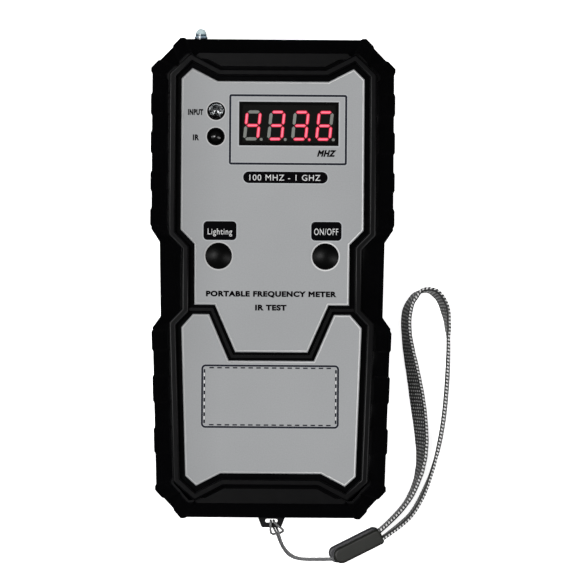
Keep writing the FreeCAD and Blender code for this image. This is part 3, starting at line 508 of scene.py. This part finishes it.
# One strand of string: out of the clip, hitched through the lug and back. Millimetres.
# Five points, two on the way out and three on the way back, differ from the CAD string's by up to 0.42 mm.
# A search program set those five, not a hand; the others are the CAD string's own.
STRING_ROUTE = [
    (19.8, -85.8, 3.6), (18.2, -85.95, 3.55), (16.0, -86.05, 2.4), (13.4, -86.1, 0.9), (10.6, -86.15, 0.4),
    (7.81, -85.79, 0.65), (5.57, -84.69, 1.22), (4.0, -82.6, 4.2), (3.0, -80.6, 7.0), (2.4, -78.9, 9.3),
    (1.8, -77.4, 10.2), (1.05, -76.1, 9.0), (0.55, -75.0, 8.5), (0.25, -74.1, 8.7), (0.15, -73.75, 9.9),
    (0.15, -73.7, 12.2), (0.1, -74.1, 13.5), (0.1, -75.4, 13.4), (0.05, -76.7, 12.2), (0.35, -77.8, 10.2),
    (1.2, -78.0, 8.9), (2.3, -77.6, 8.5), (3.3, -77.5, 9.2), (4.15, -76.75, 11.2), (3.2, -75.9, 13.0),
    (2.1, -75.1, 13.5), (1.2, -74.1, 13.5), (1.0, -73.7, 12.2), (1.05, -73.75, 9.7), (1.3, -74.65, 8.5),
    (1.9, -75.95, 8.8), (2.55, -77.25, 10.7), (2.95, -78.73, 9.94), (3.5, -80.5, 7.85), (4.4, -82.35, 5.05),
    (5.95, -84.15, 2.76), (8.04, -85.4, 1.3), (10.65, -85.7, 1.05), (13.4, -85.65, 1.6), (16.0, -85.55, 3.1),
    (17.9, -85.5, 4.2), (19.6, -85.35, 4.35),
]
STRING_WIDTH = 0.7

# Wrist webbing standing on its edge, from the clip round its loop and back. Millimetres.
WEB_MIDDLE = 3.1
WEB_ROUTE = [
    (33.1, -77.2), (38.55, -72.4), (43.55, -65.6), (46.4, -56.0), (46.1, -46.0), (44.0, -31.5),
    (40.95, -16.5), (41.4, -7.6), (46.4, -2.3), (51.9, -4.9), (54.2, -13.5), (54.0, -30.0), (52.5, -46.5),
    (49.1, -60.3), (44.5, -70.4), (40.1, -75.1), (34.1, -79.4),
]
WEB_WIDTH = 5.9
WEB_THICKNESS = 1.15
# Lean of the webbing from upright in degrees, at fractions of its length.
WEB_LEAN = [
    (0.0, 3), (0.07, 5), (0.095, 9), (0.115, 12), (0.142, 20), (0.17, 29), (0.197, 38), (0.224, 43),
    (0.25, 47), (0.275, 47), (0.3, 42), (0.33, 37), (0.36, 30), (0.39, 24), (0.43, 24), (0.46, 14),
    (0.485, -6), (0.51, -20), (0.54, -22), (0.57, -10), (0.6, 2), (0.66, 5), (0.78, 5), (0.84, 0),
    (0.89, -6), (0.95, -6), (1.0, -2),
]
WEB_CLEARANCE = 0.12
WEB_STEP = 0.17
ROW_PITCH = 1.06
COLUMN_PITCH = 0.75
FACE_RIB = 0.04
EDGE_RIB = 0.03


def route_line(name, points):
    """Points read from the smooth NURBS line that has the route as its control points."""
    curve = bpy.data.curves.new(name, "CURVE")
    curve.dimensions = "3D"
    curve.resolution_u = 12
    spline = curve.splines.new("NURBS")
    spline.points.add(len(points) - 1)
    for point, place in zip(spline.points, points):
        point.co = (place[0] * MM, place[1] * MM, place[2] * MM, 1.0)
    spline.order_u = 3
    spline.use_endpoint_u = True
    carrier = bpy.data.objects.new(name, curve)
    mesh = bpy.data.meshes.new_from_object(carrier)
    line = [vertex.co.copy() for vertex in mesh.vertices]
    bpy.data.meshes.remove(mesh)
    bpy.data.objects.remove(carrier)
    bpy.data.curves.remove(curve)
    return line


def line_length(line):
    return sum((after - before).length for before, after in zip(line, line[1:]))


def even_points(line, step):
    """Points an even distance apart along a line, ends included."""
    total = line_length(line)
    count = round(total / step)
    wanted = [total * index / count for index in range(count + 1)]
    found, travelled, index = [line[0].copy()], 0.0, 0
    for target in wanted[1:-1]:
        while travelled + (line[index + 1] - line[index]).length < target:
            travelled += (line[index + 1] - line[index]).length
            index += 1
        part = (target - travelled) / (line[index + 1] - line[index]).length
        found.append(line[index].lerp(line[index + 1], part))
    return found + [line[-1].copy()]


def directions(points):
    """Unit direction of travel at each point."""
    ahead = points[1:] + [points[-1]]
    behind = [points[0]] + points[:-1]
    return [(after - before).normalized() for after, before in zip(ahead, behind)]


def ring_tube(name, rings, lengthwise, material_of=None):
    """Closed tube through rings of points, with its length and girth as UV."""
    count = len(rings[0])
    corners = [corner for ring in rings for corner in ring]
    faces = []
    for row in range(len(rings) - 1):
        for column in range(count):
            after = (column + 1) % count
            low, high = row * count, (row + 1) * count
            faces.append((low + column, low + after, high + after, high + column))
    faces.append(tuple(reversed(range(count))))
    faces.append(tuple(range(len(corners) - count, len(corners))))
    mesh = bpy.data.meshes.new(name)
    mesh.from_pydata([tuple(corner) for corner in corners], [], faces)
    layer = mesh.uv_layers.new(name="weave")
    for number, polygon in enumerate(mesh.polygons[:-2]):
        row, column = divmod(number, count)
        spots = [(row, column), (row, column + 1), (row + 1, column + 1), (row + 1, column)]
        for loop, (along, across) in zip(polygon.loop_indices, spots):
            layer.data[loop].uv = (lengthwise[along], across / count)
        if material_of:
            polygon.material_index = material_of(column)
    mesh.polygons.foreach_set("use_smooth", [True] * len(mesh.polygons))
    made = bpy.data.objects.new(name, mesh)
    bpy.context.scene.collection.objects.link(made)
    return made


STRING_SIDES = 18
STRING_STRANDS = 3
STRING_TWIST = 2.4
STRING_STEP = 0.16
GROOVE_RADIUS = 0.9
STRAND_RISE = 0.12


def make_string():
    """Twisted string of three strands on the string's route."""
    line = route_line("string_line", STRING_ROUTE)
    points = even_points(line, STRING_STEP * MM)
    travel = directions(points)
    side = travel[0].cross(Vector((0, 0, 1))).normalized()
    rings, lengthwise, distance = [], [], 0.0
    for index, (point, ahead) in enumerate(zip(points, travel)):
        side = (side - ahead * side.dot(ahead)).normalized()
        other = ahead.cross(side)
        if index:
            distance += (point - points[index - 1]).length
        turn = 2 * math.pi * distance / (STRING_TWIST * MM)
        ring = []
        for step in range(STRING_SIDES):
            angle = 2 * math.pi * step / STRING_SIDES
            lobe = abs(math.cos(STRING_STRANDS * (angle - turn / STRING_STRANDS) / 2))
            radius = STRING_WIDTH / 2 * MM * (GROOVE_RADIUS + STRAND_RISE * lobe)
            ring.append(point + (side * math.cos(angle) + other * math.sin(angle)) * radius)
        rings.append(ring)
        lengthwise.append(distance / (STRING_TWIST * MM))
    string = ring_tube("wrist_string", rings, lengthwise)
    string.data.materials.append(string_material())
    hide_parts("strap_string")
    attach(string, "root")


def lean_at(part):
    """Lean of the webbing, in radians, at a fraction of its length."""
    for (start, low), (end, high) in zip(WEB_LEAN, WEB_LEAN[1:]):
        if part <= end:
            local = (part - start) / (end - start)
            smooth = local * local * (3 - 2 * local)
            return math.radians(low + (high - low) * smooth)
    return math.radians(WEB_LEAN[-1][1])


FACE_STEPS = 24
EDGE_STEPS = 6


def web_section():
    """Places round the webbing's section: across its width, through its thickness, and outward."""
    half, round_off = WEB_WIDTH / 2, WEB_THICKNESS / 2
    flat = half - round_off * 0.7
    places = []
    for index in range(FACE_STEPS):
        across = -flat + 2 * flat * index / FACE_STEPS
        places.append((across, round_off, 0.0, 1.0))
    for index in range(EDGE_STEPS):
        angle = math.pi / 2 - math.pi * index / EDGE_STEPS
        out, up = math.cos(angle), math.sin(angle)
        places.append((flat + out * (half - flat), round_off * up, out, up))
    for index in range(FACE_STEPS):
        across = flat - 2 * flat * index / FACE_STEPS
        places.append((across, -round_off, 0.0, -1.0))
    for index in range(EDGE_STEPS):
        angle = -math.pi / 2 - math.pi * index / EDGE_STEPS
        out, up = math.cos(angle), math.sin(angle)
        places.append((-flat + out * (half - flat), round_off * up, out, up))
    return places


def rib_height(distance, across, out):
    """Height of the woven ribs, in millimetres; the selvedge has bolder ones."""
    row = math.cos(2 * math.pi * distance / ROW_PITCH)
    column = math.cos(2 * math.pi * across / COLUMN_PITCH)
    return FACE_RIB * row * column * (1 - abs(out)) + EDGE_RIB * row * abs(out)


def make_webbing():
    """Woven webbing on its edge, leaning over where the loop lies open."""
    line = route_line("web_line", [(x, y, WEB_MIDDLE) for x, y in WEB_ROUTE])
    points = even_points(line, WEB_STEP * MM)
    travel = directions(points)
    places = web_section()
    rings, lengthwise = [], []
    step = line_length(points) / (len(points) - 1) / MM
    for index, (point, ahead) in enumerate(zip(points, travel)):
        distance = index * step
        lean = lean_at(index / (len(points) - 1))
        left = Vector((-ahead.y, ahead.x, 0)).normalized()
        tall = Vector((0, 0, math.cos(lean))) - left * math.sin(lean)
        thick = left * math.cos(lean) + Vector((0, 0, math.sin(lean)))
        reach = WEB_WIDTH / 2 * math.cos(lean) + WEB_THICKNESS / 2 * abs(math.sin(lean))
        middle = Vector((point.x, point.y, (reach + WEB_CLEARANCE) * MM))
        ring = []
        for across, through, out, up in places:
            rib = rib_height(distance, across, out)
            spot = tall * (across + rib * out) + thick * (through + rib * up)
            ring.append(middle + spot * MM)
        rings.append(ring)
        lengthwise.append(distance / ROW_PITCH)
    webbing = ring_tube("wrist_webbing", rings, lengthwise, web_part)
    webbing.data.materials.append(web_face_material())
    webbing.data.materials.append(web_edge_material())
    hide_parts("strap_webbing")
    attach(webbing, "root")


def web_part(column):
    """Material slot of a strip of the webbing: its faces, or its two selvedges."""
    on_face = column % (FACE_STEPS + EDGE_STEPS) < FACE_STEPS
    return 0 if on_face else 1


def stripes(tree, source, output, cycles):
    """Wave from 0 to 1 that repeats as a value rises."""
    scaled = node(tree, "ShaderNodeMath", {1: cycles * 2 * math.pi, 2: 0.0}, operation="MULTIPLY_ADD")
    link(tree, source, output, scaled, 0)
    wave = node(tree, "ShaderNodeMath", operation="SINE")
    link(tree, scaled, "Value", wave, 0)
    half = node(tree, "ShaderNodeMath", {1: 0.5, 2: 0.5}, operation="MULTIPLY_ADD")
    link(tree, wave, "Value", half, 0)
    return half


def weave_place(tree, slant):
    """Length along the webbing, sheared by its girth, and the girth."""
    place = node(tree, "ShaderNodeUVMap", uv_map="weave")
    parts = node(tree, "ShaderNodeSeparateXYZ")
    link(tree, place, "UV", parts, "Vector")
    sheared = node(tree, "ShaderNodeMath", {1: slant}, operation="MULTIPLY_ADD")
    link(tree, parts, "Y", sheared, 0)
    link(tree, parts, "X", sheared, 2)
    return sheared, parts


def product(tree, first, second):
    """Product of two values, each given as a node and the name of its output."""
    made = node(tree, "ShaderNodeMath", operation="MULTIPLY")
    link(tree, first[0], first[1], made, 0)
    link(tree, second[0], second[1], made, 1)
    return made


GIRTH_STEPS = 2 * (FACE_STEPS + EDGE_STEPS)
WEB_COLUMNS = 6


def web_face_material():
    """Black weave with rows of pale dashes that come and go along the length."""
    material, tree, shader = new_material("strap_webbing")
    row, parts = weave_place(tree, 1.6)
    rows = stripes(tree, row, "Value", 1.0)
    columns = stripes(tree, parts, "Y", WEB_COLUMNS * GIRTH_STEPS / FACE_STEPS)
    dashes = product(tree, (rows, "Value"), (columns, "Value"))
    thread = noise(tree, object_place(tree), 1500.0, 3.0)
    uneven = product(tree, (dashes, "Value"), (thread, "Fac"))
    colour = ramp(tree, uneven, "Value", [(0.17, grey(0.004)), (0.4, grey(0.4))])
    link(tree, colour, "Color", shader, "Base Color")
    rough_range = value_range(tree, thread, "Fac", 0.45, 0.7)
    link(tree, rough_range, "Result", shader, "Roughness")
    bump(tree, shader, uneven, "Value", 0.5, 0.05 * MM)
    shader.inputs["Sheen Weight"].default_value = 0.25
    shader.inputs["Sheen Roughness"].default_value = 0.4
    return material


def selvedge_stops():
    """Black and white parts of the webbing's girth: each selvedge has dashes in its middle only."""
    top, bottom = FACE_STEPS / GIRTH_STEPS, (2 * FACE_STEPS + EDGE_STEPS) / GIRTH_STEPS
    edge = EDGE_STEPS / GIRTH_STEPS
    stops = [(0.0, grey(0))]
    for start in (top, bottom):
        stops += [(start + edge * 0.02, grey(0)), (start + edge * 0.16, grey(1))]
        stops += [(start + edge * 0.52, grey(1)), (start + edge * 0.68, grey(0))]
    return stops


def web_edge_material():
    """Selvedge with slanting white dashes on black."""
    material, tree, shader = new_material("strap_selvedge")
    row, parts = weave_place(tree, 5.0)
    rows = stripes(tree, row, "Value", 1.0)
    girth = ramp(tree, parts, "Y", selvedge_stops())
    dashes = product(tree, (rows, "Value"), (girth, "Color"))
    thread = noise(tree, object_place(tree), 1500.0, 3.0)
    uneven = node(tree, "ShaderNodeMath", {1: 0.25}, operation="MULTIPLY_ADD")
    link(tree, thread, "Fac", uneven, 0)
    link(tree, dashes, "Value", uneven, 2)
    colour = ramp(tree, uneven, "Value", [(0.55, grey(0.008)), (0.75, grey(0.62))])
    link(tree, colour, "Color", shader, "Base Color")
    rough_range = value_range(tree, thread, "Fac", 0.4, 0.65)
    link(tree, rough_range, "Result", shader, "Roughness")
    bump(tree, shader, uneven, "Value", 0.5, 0.05 * MM)
    return material


def string_material():
    """Grey twisted string with painted shade in the grooves between its strands and a painted highlight on
    their crests.
    """
    material, tree, shader = new_material("strap_string")
    row, parts = weave_place(tree, -1.0)
    groove_shade_stripes = stripes(tree, row, "Value", STRING_STRANDS)
    thread = noise(tree, object_place(tree), 3000.0, 3.0)
    uneven = node(tree, "ShaderNodeMath", {1: 0.5}, operation="MULTIPLY_ADD")
    link(tree, thread, "Fac", uneven, 0)
    link(tree, groove_shade_stripes, "Value", uneven, 2)
    # Painted shade in the grooves, painted highlight on the crests.
    colour = ramp(tree, uneven, "Value", [(0.3, grey(0.045)), (0.9, (0.16, 0.161, 0.166))])
    link(tree, colour, "Color", shader, "Base Color")
    bump(tree, shader, uneven, "Value", 0.4, 0.03 * MM)
    shader.inputs["Roughness"].default_value = 0.5
    return material


# ---------------------------------------------------------------- printed panel

PRINT_THICKNESS = 0.012
MERGE_GAP = 0.002 * MM
LETTER_SPACING = 1.13


def arc_points(centre, radius, start, turn, steps=8):
    """Points of an arc, angles in degrees."""
    angles = [math.radians(start + turn * index / steps) for index in range(steps + 1)]
    return [(centre[0] + radius * math.cos(angle), centre[1] + radius * math.sin(angle)) for angle in angles]


def round_box(x_range, y_range, radius):
    """Closed outline of a rectangle with round corners, counter-clockwise."""
    (left, right), (low, high) = x_range, y_range
    points = arc_points((right - radius, high - radius), radius, 0, 90)
    points += arc_points((left + radius, high - radius), radius, 90, 90)
    points += arc_points((left + radius, low + radius), radius, 180, 90)
    points += arc_points((right - radius, low + radius), radius, 270, 90)
    return points


def circle(centre, radius):
    return arc_points(centre, radius, 0, 360, 48)[:-1]


def widen(x_range, y_range, margin):
    return (x_range[0] - margin, x_range[1] + margin), (y_range[0] - margin, y_range[1] + margin)


def mesh_from_curve(name, curve):
    """Closed mesh of a filled and extruded flat curve or of text."""
    carrier = bpy.data.objects.new(name + "_curve", curve)
    mesh = bpy.data.meshes.new_from_object(carrier)
    bpy.data.objects.remove(carrier)
    bpy.data.curves.remove(curve)
    made = bmesh.new()
    made.from_mesh(mesh)
    bmesh.ops.remove_doubles(made, verts=made.verts, dist=0.00001)
    made.to_mesh(mesh)
    made.free()
    return mesh


def add_piece(name, mesh, material, body="root"):
    """Object from a mesh, painted and riding on a body."""
    mesh.name = name
    piece = bpy.data.objects.new(name, mesh)
    bpy.context.scene.collection.objects.link(piece)
    paint(piece, material)
    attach(piece, body)
    return piece


def place_mesh(mesh, scale, shift):
    """Scale and shift a mesh in place, in metres."""
    mesh.transform(Matrix.Translation(shift) @ Matrix.Diagonal((*scale, 1.0)))


def slab(name, outlines, low, thickness, material, body="root"):
    """Thin solid from flat outlines in millimetres; inner outlines make holes."""
    curve = bpy.data.curves.new(name, "CURVE")
    curve.dimensions = "2D"
    curve.fill_mode = "BOTH"
    curve.extrude = 0.5
    for outline in outlines:
        spline = curve.splines.new("POLY")
        spline.points.add(len(outline) - 1)
        for point, (x, y) in zip(spline.points, outline):
            point.co = (x, y, 0, 1)
        spline.use_cyclic_u = True
    mesh = mesh_from_curve(name, curve)
    place_mesh(mesh, (MM, MM, thickness * MM), (0, 0, low + thickness / 2 * MM))
    return add_piece(name, mesh, material, body)


def lettering(name, words, x_range, y_range, low, material, weight=0.0, slant=0.0):
    """Printed words that fill a box given in millimetres; a bevel makes the strokes bolder."""
    curve = bpy.data.curves.new(name, "FONT")
    curve.body = words
    curve.bevel_depth = weight
    curve.bevel_resolution = 0
    curve.shear = slant
    curve.space_character = LETTER_SPACING
    curve.extrude = 0.5
    curve.resolution_u = 6
    mesh = mesh_from_curve(name, curve)
    across = [vertex.co.x for vertex in mesh.vertices]
    upright = [vertex.co.y for vertex in mesh.vertices]
    scale_x = (x_range[1] - x_range[0]) / (max(across) - min(across))
    scale_y = (y_range[1] - y_range[0]) / (max(upright) - min(upright))
    shift = ((x_range[0] - min(across) * scale_x) * MM, (y_range[0] - min(upright) * scale_y) * MM,
             low + PRINT_THICKNESS / 2 * MM)
    place_mesh(mesh, (scale_x * MM, scale_y * MM, PRINT_THICKNESS * MM), shift)
    return add_piece(name, mesh, material)


FIRST_PRINT = PLATE_TOP + 0.004 * MM
SECOND_PRINT = PLATE_TOP + 0.018 * MM
THIRD_PRINT = PLATE_TOP + 0.032 * MM


LABEL_RIM = 0.3


def label(name, x_range, y_range, radius):
    """Black printed patch with a thin pale rim."""
    patch = round_box(x_range, y_range, radius)
    edge = round_box(*widen(x_range, y_range, LABEL_RIM), radius + LABEL_RIM)
    slab(name + "_rim", [edge, patch], FIRST_PRINT, PRINT_THICKNESS, "ink_pale")
    slab(name, [patch], FIRST_PRINT, PRINT_THICKNESS, "ink_black")


def printed_frame(name, x_range, y_range, radius, width, rim):
    """Dark line round a box, with a pale line along each side of it."""
    edges = [round_box(*widen(x_range, y_range, margin), max(radius + margin, 0.15))
             for margin in (rim, 0.0, -width, -width - rim)]
    slab(name, [edges[1], edges[2]], FIRST_PRINT, PRINT_THICKNESS, "ink_line")
    slab(name + "_outer_rim", [edges[0], edges[1]], FIRST_PRINT, PRINT_THICKNESS, "ink_pale")
    slab(name + "_inner_rim", [edges[2], edges[3]], FIRST_PRINT, PRINT_THICKNESS, "ink_pale")


DASH_PITCH = 2.31
DASH_LENGTH = 1.35
DASH_WIDTH = 0.4
UPRIGHT_LENGTH = 1.05
UPRIGHT_WIDTH = 0.36


def dash_rows(start, end, fixed, width, upright, length=DASH_LENGTH):
    """Small rectangles in a row between two places, along Y if upright."""
    count = round((end - start) / DASH_PITCH)
    pitch = (end - start) / count
    dashes = []
    for index in range(count):
        middle = start + pitch * (index + 0.5)
        near, far = middle - length / 2, middle + length / 2
        if upright:
            dashes.append([(fixed - width / 2, near), (fixed + width / 2, near),
                           (fixed + width / 2, far), (fixed - width / 2, far)])
        else:
            dashes.append([(near, fixed - width / 2), (far, fixed - width / 2),
                           (far, fixed + width / 2), (near, fixed + width / 2)])
    return dashes


def lower_label():
    """Empty write-on field: dark line with a line of dashes inside it."""
    x_range, y_range, line = (-21.15, 20.55), (-45.35, -26.15), 0.6
    printed_frame("note_field", x_range, y_range, 1.3, line, 0.12)
    (left, right), (low, high) = widen(x_range, y_range, -line - 0.36)
    for side, middle in (("left", left), ("right", right)):
        strip = round_box((middle - 0.25, middle + 0.25), (low + 0.5, high - 0.5), 0.1)
        slab("note_lining_" + side, [strip], SECOND_PRINT, PRINT_THICKNESS, "ink_line")
    uprights = [dash for side in (left, right)
                for dash in dash_rows(low + 1, high - 1, side, UPRIGHT_WIDTH, True, UPRIGHT_LENGTH)]
    slab("note_upright_dashes", uprights, THIRD_PRINT, PRINT_THICKNESS, "ink_words")
    level_dashes = [dash for level in (low, high)
                    for dash in dash_rows(left + 1, right - 1, level, DASH_WIDTH, False)]
    slab("note_level_dashes", level_dashes, THIRD_PRINT, PRINT_THICKNESS, "ink_line")


def opening_rims():
    """Pale rim printed round the window; painted highlights on the hole edges round the lamps and the
    buttons.
    """
    housing_low, housing_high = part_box("display_housing")
    window = [(housing_low.x / MM, housing_high.x / MM), (housing_low.y / MM, housing_high.y / MM)]
    slab("window_rim", [round_box(*widen(*window, 0.55), 0.5), round_box(*widen(*window, 0.2), 0.25)],
         FIRST_PRINT, PRINT_THICKNESS, "ink_pale")
    # Painted highlight rings on the hole edges round the lamps and the buttons.
    for name, node_name, gap, width in (("input_lamp_rim_highlight", "input_lamp", 0.24, 0.3),
                                        ("ir_receiver_rim_highlight", "ir_receiver", 0.24, 0.3),
                                        ("lighting_rim_highlight", "lighting_button", 0.16, 0.36),
                                        ("power_rim_highlight", "power_button", 0.16, 0.36)):
        centre, radius = seen_circle(node_name)
        slab(name, [circle(centre, radius + gap + width), circle(centre, radius + gap)],
             FIRST_PRINT, PRINT_THICKNESS, "painted_edge_highlight")


def top_caps(made, flatness):
    """Level faces at the very top of a mesh."""
    made.normal_update()
    top = max(vertex.co.z for vertex in made.verts) - 0.01 * MM
    return [face for face in made.faces if face.normal.z > flatness and face.calc_center_median().z > top]


def keep_faces(made, wanted):
    """Delete every face that isn't wanted."""
    spare = set(made.faces) - set(wanted)
    bmesh.ops.delete(made, geom=list(spare), context="FACES")


def thicken(made, thickness):
    """Turn flat faces into thin closed solids standing on them."""
    raised = bmesh.ops.extrude_face_region(made, geom=made.faces[:])
    lifted = [part for part in raised["geom"] if isinstance(part, bmesh.types.BMVert)]
    bmesh.ops.translate(made, verts=lifted, vec=(0, 0, thickness))


def piece_from_bmesh(name, made, material):
    """Painted piece from an edited mesh, its faces turned outward."""
    bmesh.ops.recalc_face_normals(made, faces=made.faces)
    mesh = bpy.data.meshes.new(name)
    made.to_mesh(mesh)
    made.free()
    return add_piece(name, mesh, material)


# Width and lift of the painted highlight line along the plates' edges.
HIGHLIGHT_LINE_WIDTH = 0.3
HIGHLIGHT_LINE_LIFT = 0.003


def painted_edge_line(plate_name):
    """Painted highlight: bright line along the edges of a plate and round its openings, a thin ring on its
    top face.
    """
    made = bmesh.new()
    made.from_mesh(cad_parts[plate_name].data)
    bmesh.ops.remove_doubles(made, verts=made.verts, dist=MERGE_GAP)
    keep_faces(made, top_caps(made, 0.99))
    ring = bmesh.ops.inset_region(made, faces=made.faces[:], thickness=HIGHLIGHT_LINE_WIDTH * MM,
                                  use_boundary=True, use_even_offset=True)["faces"]
    keep_faces(made, ring)
    thicken(made, PRINT_THICKNESS * MM)
    bmesh.ops.translate(made, verts=made.verts[:], vec=(0, 0, HIGHLIGHT_LINE_LIFT * MM))
    piece_from_bmesh(plate_name + "_painted_edge_line", made, "painted_edge_highlight")


GASKET_LOW = 24.25 * MM


def lamp_gaskets():
    """Black sleeves between the two round windows and the panel."""
    for name, node_name in (("input_gasket", "input_lamp"), ("ir_gasket", "ir_receiver")):
        centre = seen_circle(node_name)[0]
        slab(name, [circle(centre, 2.6), circle(centre, 2.26)], GASKET_LOW, 0.9, "frame_black")
        slab(name + "_lip", [circle(centre, 2.72), circle(centre, 2.36)], FIRST_PRINT, 0.05, "frame_black")


SEEN_RADIUS = {"input_lamp": 2.5, "ir_receiver": 2.5, "lighting_button": 3.9, "power_button": 3.9}


def seen_circle(node_name):
    """Middle and visible radius of a round node, in millimetres."""
    low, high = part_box(node_name)
    return ((low.x + high.x) / 2 / MM, (low.y + high.y) / 2 / MM), SEEN_RADIUS[node_name]


def print_panel():
    """Everything printed on the panel, with painted highlights on its edges and the sleeves of its round
    windows.
    """
    printed_frame("display_frame", (-13.25, 22.45), (34.35, 55.65), 0.7, 0.64, 0.2)
    label("lighting_label", (-20.8, -10.8), (11.5, 17.2), 1.2)
    label("power_label", (11.8, 21.0), (11.5, 17.2), 1.2)
    label("range_label", (-8.9, 16.7), (28.8, 32.3), 1.74)
    lettering("lighting_words", "Lighting", (-19.5, -12.1), (12.6, 15.0), SECOND_PRINT, "ink_words", 0.004)
    lettering("power_words", "ON/OFF", (12.7, 20.0), (13.2, 15.2), SECOND_PRINT, "ink_words", 0.004)
    lettering("range_words", "100 MHZ - 1 GHZ", (-7.0, 14.5), (29.6, 31.4), SECOND_PRINT,
              "ink_words", 0.005)
    lettering("unit_words", "MHZ", (13.4, 19.3), (36.9, 38.9), FIRST_PRINT, "ink_black", 0.06, 0.3)
    lettering("input_words", "INPUT", (-25.7, -21.1), (49.25, 51.07), FIRST_PRINT, "ink_black", 0.055)
    lettering("ir_words", "IR", (-24.2, -22.3), (41.6, 43.4), FIRST_PRINT, "ink_black", 0.055)
    lettering("title_words", "PORTABLE FREQUENCY METER", (-19.9, 19.6), (-5.87, -3.84), FIRST_PRINT,
              "ink_black", 0.06)
    lettering("test_words", "IR TEST", (-5.0, 4.5), (-9.75, -7.95), FIRST_PRINT, "ink_black", 0.06)
    lower_label()
    opening_rims()
    painted_edge_line("upper_faceplate")
    painted_edge_line("lower_faceplate")
    lamp_gaskets()


# ---------------------------------------------------------------- display and lamps

CORE_INSET = 0.29
CORE_HEIGHT = 0.03


def make_segment_cores():
    """Bright middle of each lit segment, a thin bar on top of its deep red one."""
    made = bmesh.new()
    made.from_mesh(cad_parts["display_segments_lit"].data)
    bmesh.ops.remove_doubles(made, verts=made.verts, dist=MERGE_GAP)
    bmesh.ops.dissolve_limit(made, angle_limit=math.radians(1), verts=made.verts, edges=made.edges)
    caps = top_caps(made, 0.9)
    bmesh.ops.inset_individual(made, faces=caps, thickness=CORE_INSET * MM, depth=0)
    keep_faces(made, caps)
    thicken(made, CORE_HEIGHT * MM)
    piece_from_bmesh("segment_cores", made, "lit_core")


def half_moon(centre, outer, inner, start, turn):
    """Outline of a ring sector."""
    inner_arc = arc_points(centre, inner, start, turn, 16)
    return arc_points(centre, outer, start, turn, 16) + inner_arc[::-1]


LAMP_PLANE = 22.4 * MM


def make_lamp_core():
    """Reflector dish, chip and posts cast into the clear input lamp; the pale arc and posts are painted
    reflections on their metal.
    """
    x, y = seen_circle("input_lamp")[0]
    slab("lamp_back", [circle((x, y), 1.62)], LAMP_PLANE, 0.1, "lamp_dark")
    # Arc and posts coloured with painted reflections of their metal.
    slab("lamp_arc", [half_moon((x, y), 1.5, 1.2, 10, 160)], LAMP_PLANE + 0.11 * MM, 0.1, "lamp_reflection_grey")
    slab("lamp_dish", [half_moon((x, y), 1.2, 0.1, 5, 170)], LAMP_PLANE + 0.11 * MM, 0.08, "lamp_shade")
    posts = [(x - 1.25, y - 0.2), (x - 1.2, y - 0.6), (x - 0.7, y - 0.78), (x - 0.2, y - 0.3), (x, y - 0.2),
             (x + 0.25, y - 0.35), (x + 0.75, y - 0.62), (x + 1.25, y - 0.3), (x + 1.3, y),
             (x + 0.6, y - 0.1), (x, y + 0.25), (x - 0.6, y - 0.15)]
    slab("lamp_posts", [posts], LAMP_PLANE + 0.2 * MM, 0.12, "lamp_reflection_white")
    chip = [(x - 0.28, y - 0.2), (x, y - 0.45), (x + 0.28, y - 0.2), (x, y + 0.05)]
    slab("lamp_chip", [chip], LAMP_PLANE + 0.33 * MM, 0.1, "lamp_dark")


add_camera()
make_string()
make_webbing()
print_panel()
make_segment_cores()
make_lamp_core()
add_stage()
for shell_name in ("front_shell", "rear_shell", "battery_door"):
    round_edges(shell_name, SHELL_EDGE)
for clip_name in ("strap_clip_front", "strap_clip_back"):
    round_edges(clip_name, CLIP_EDGE, segments=5, angle=60)
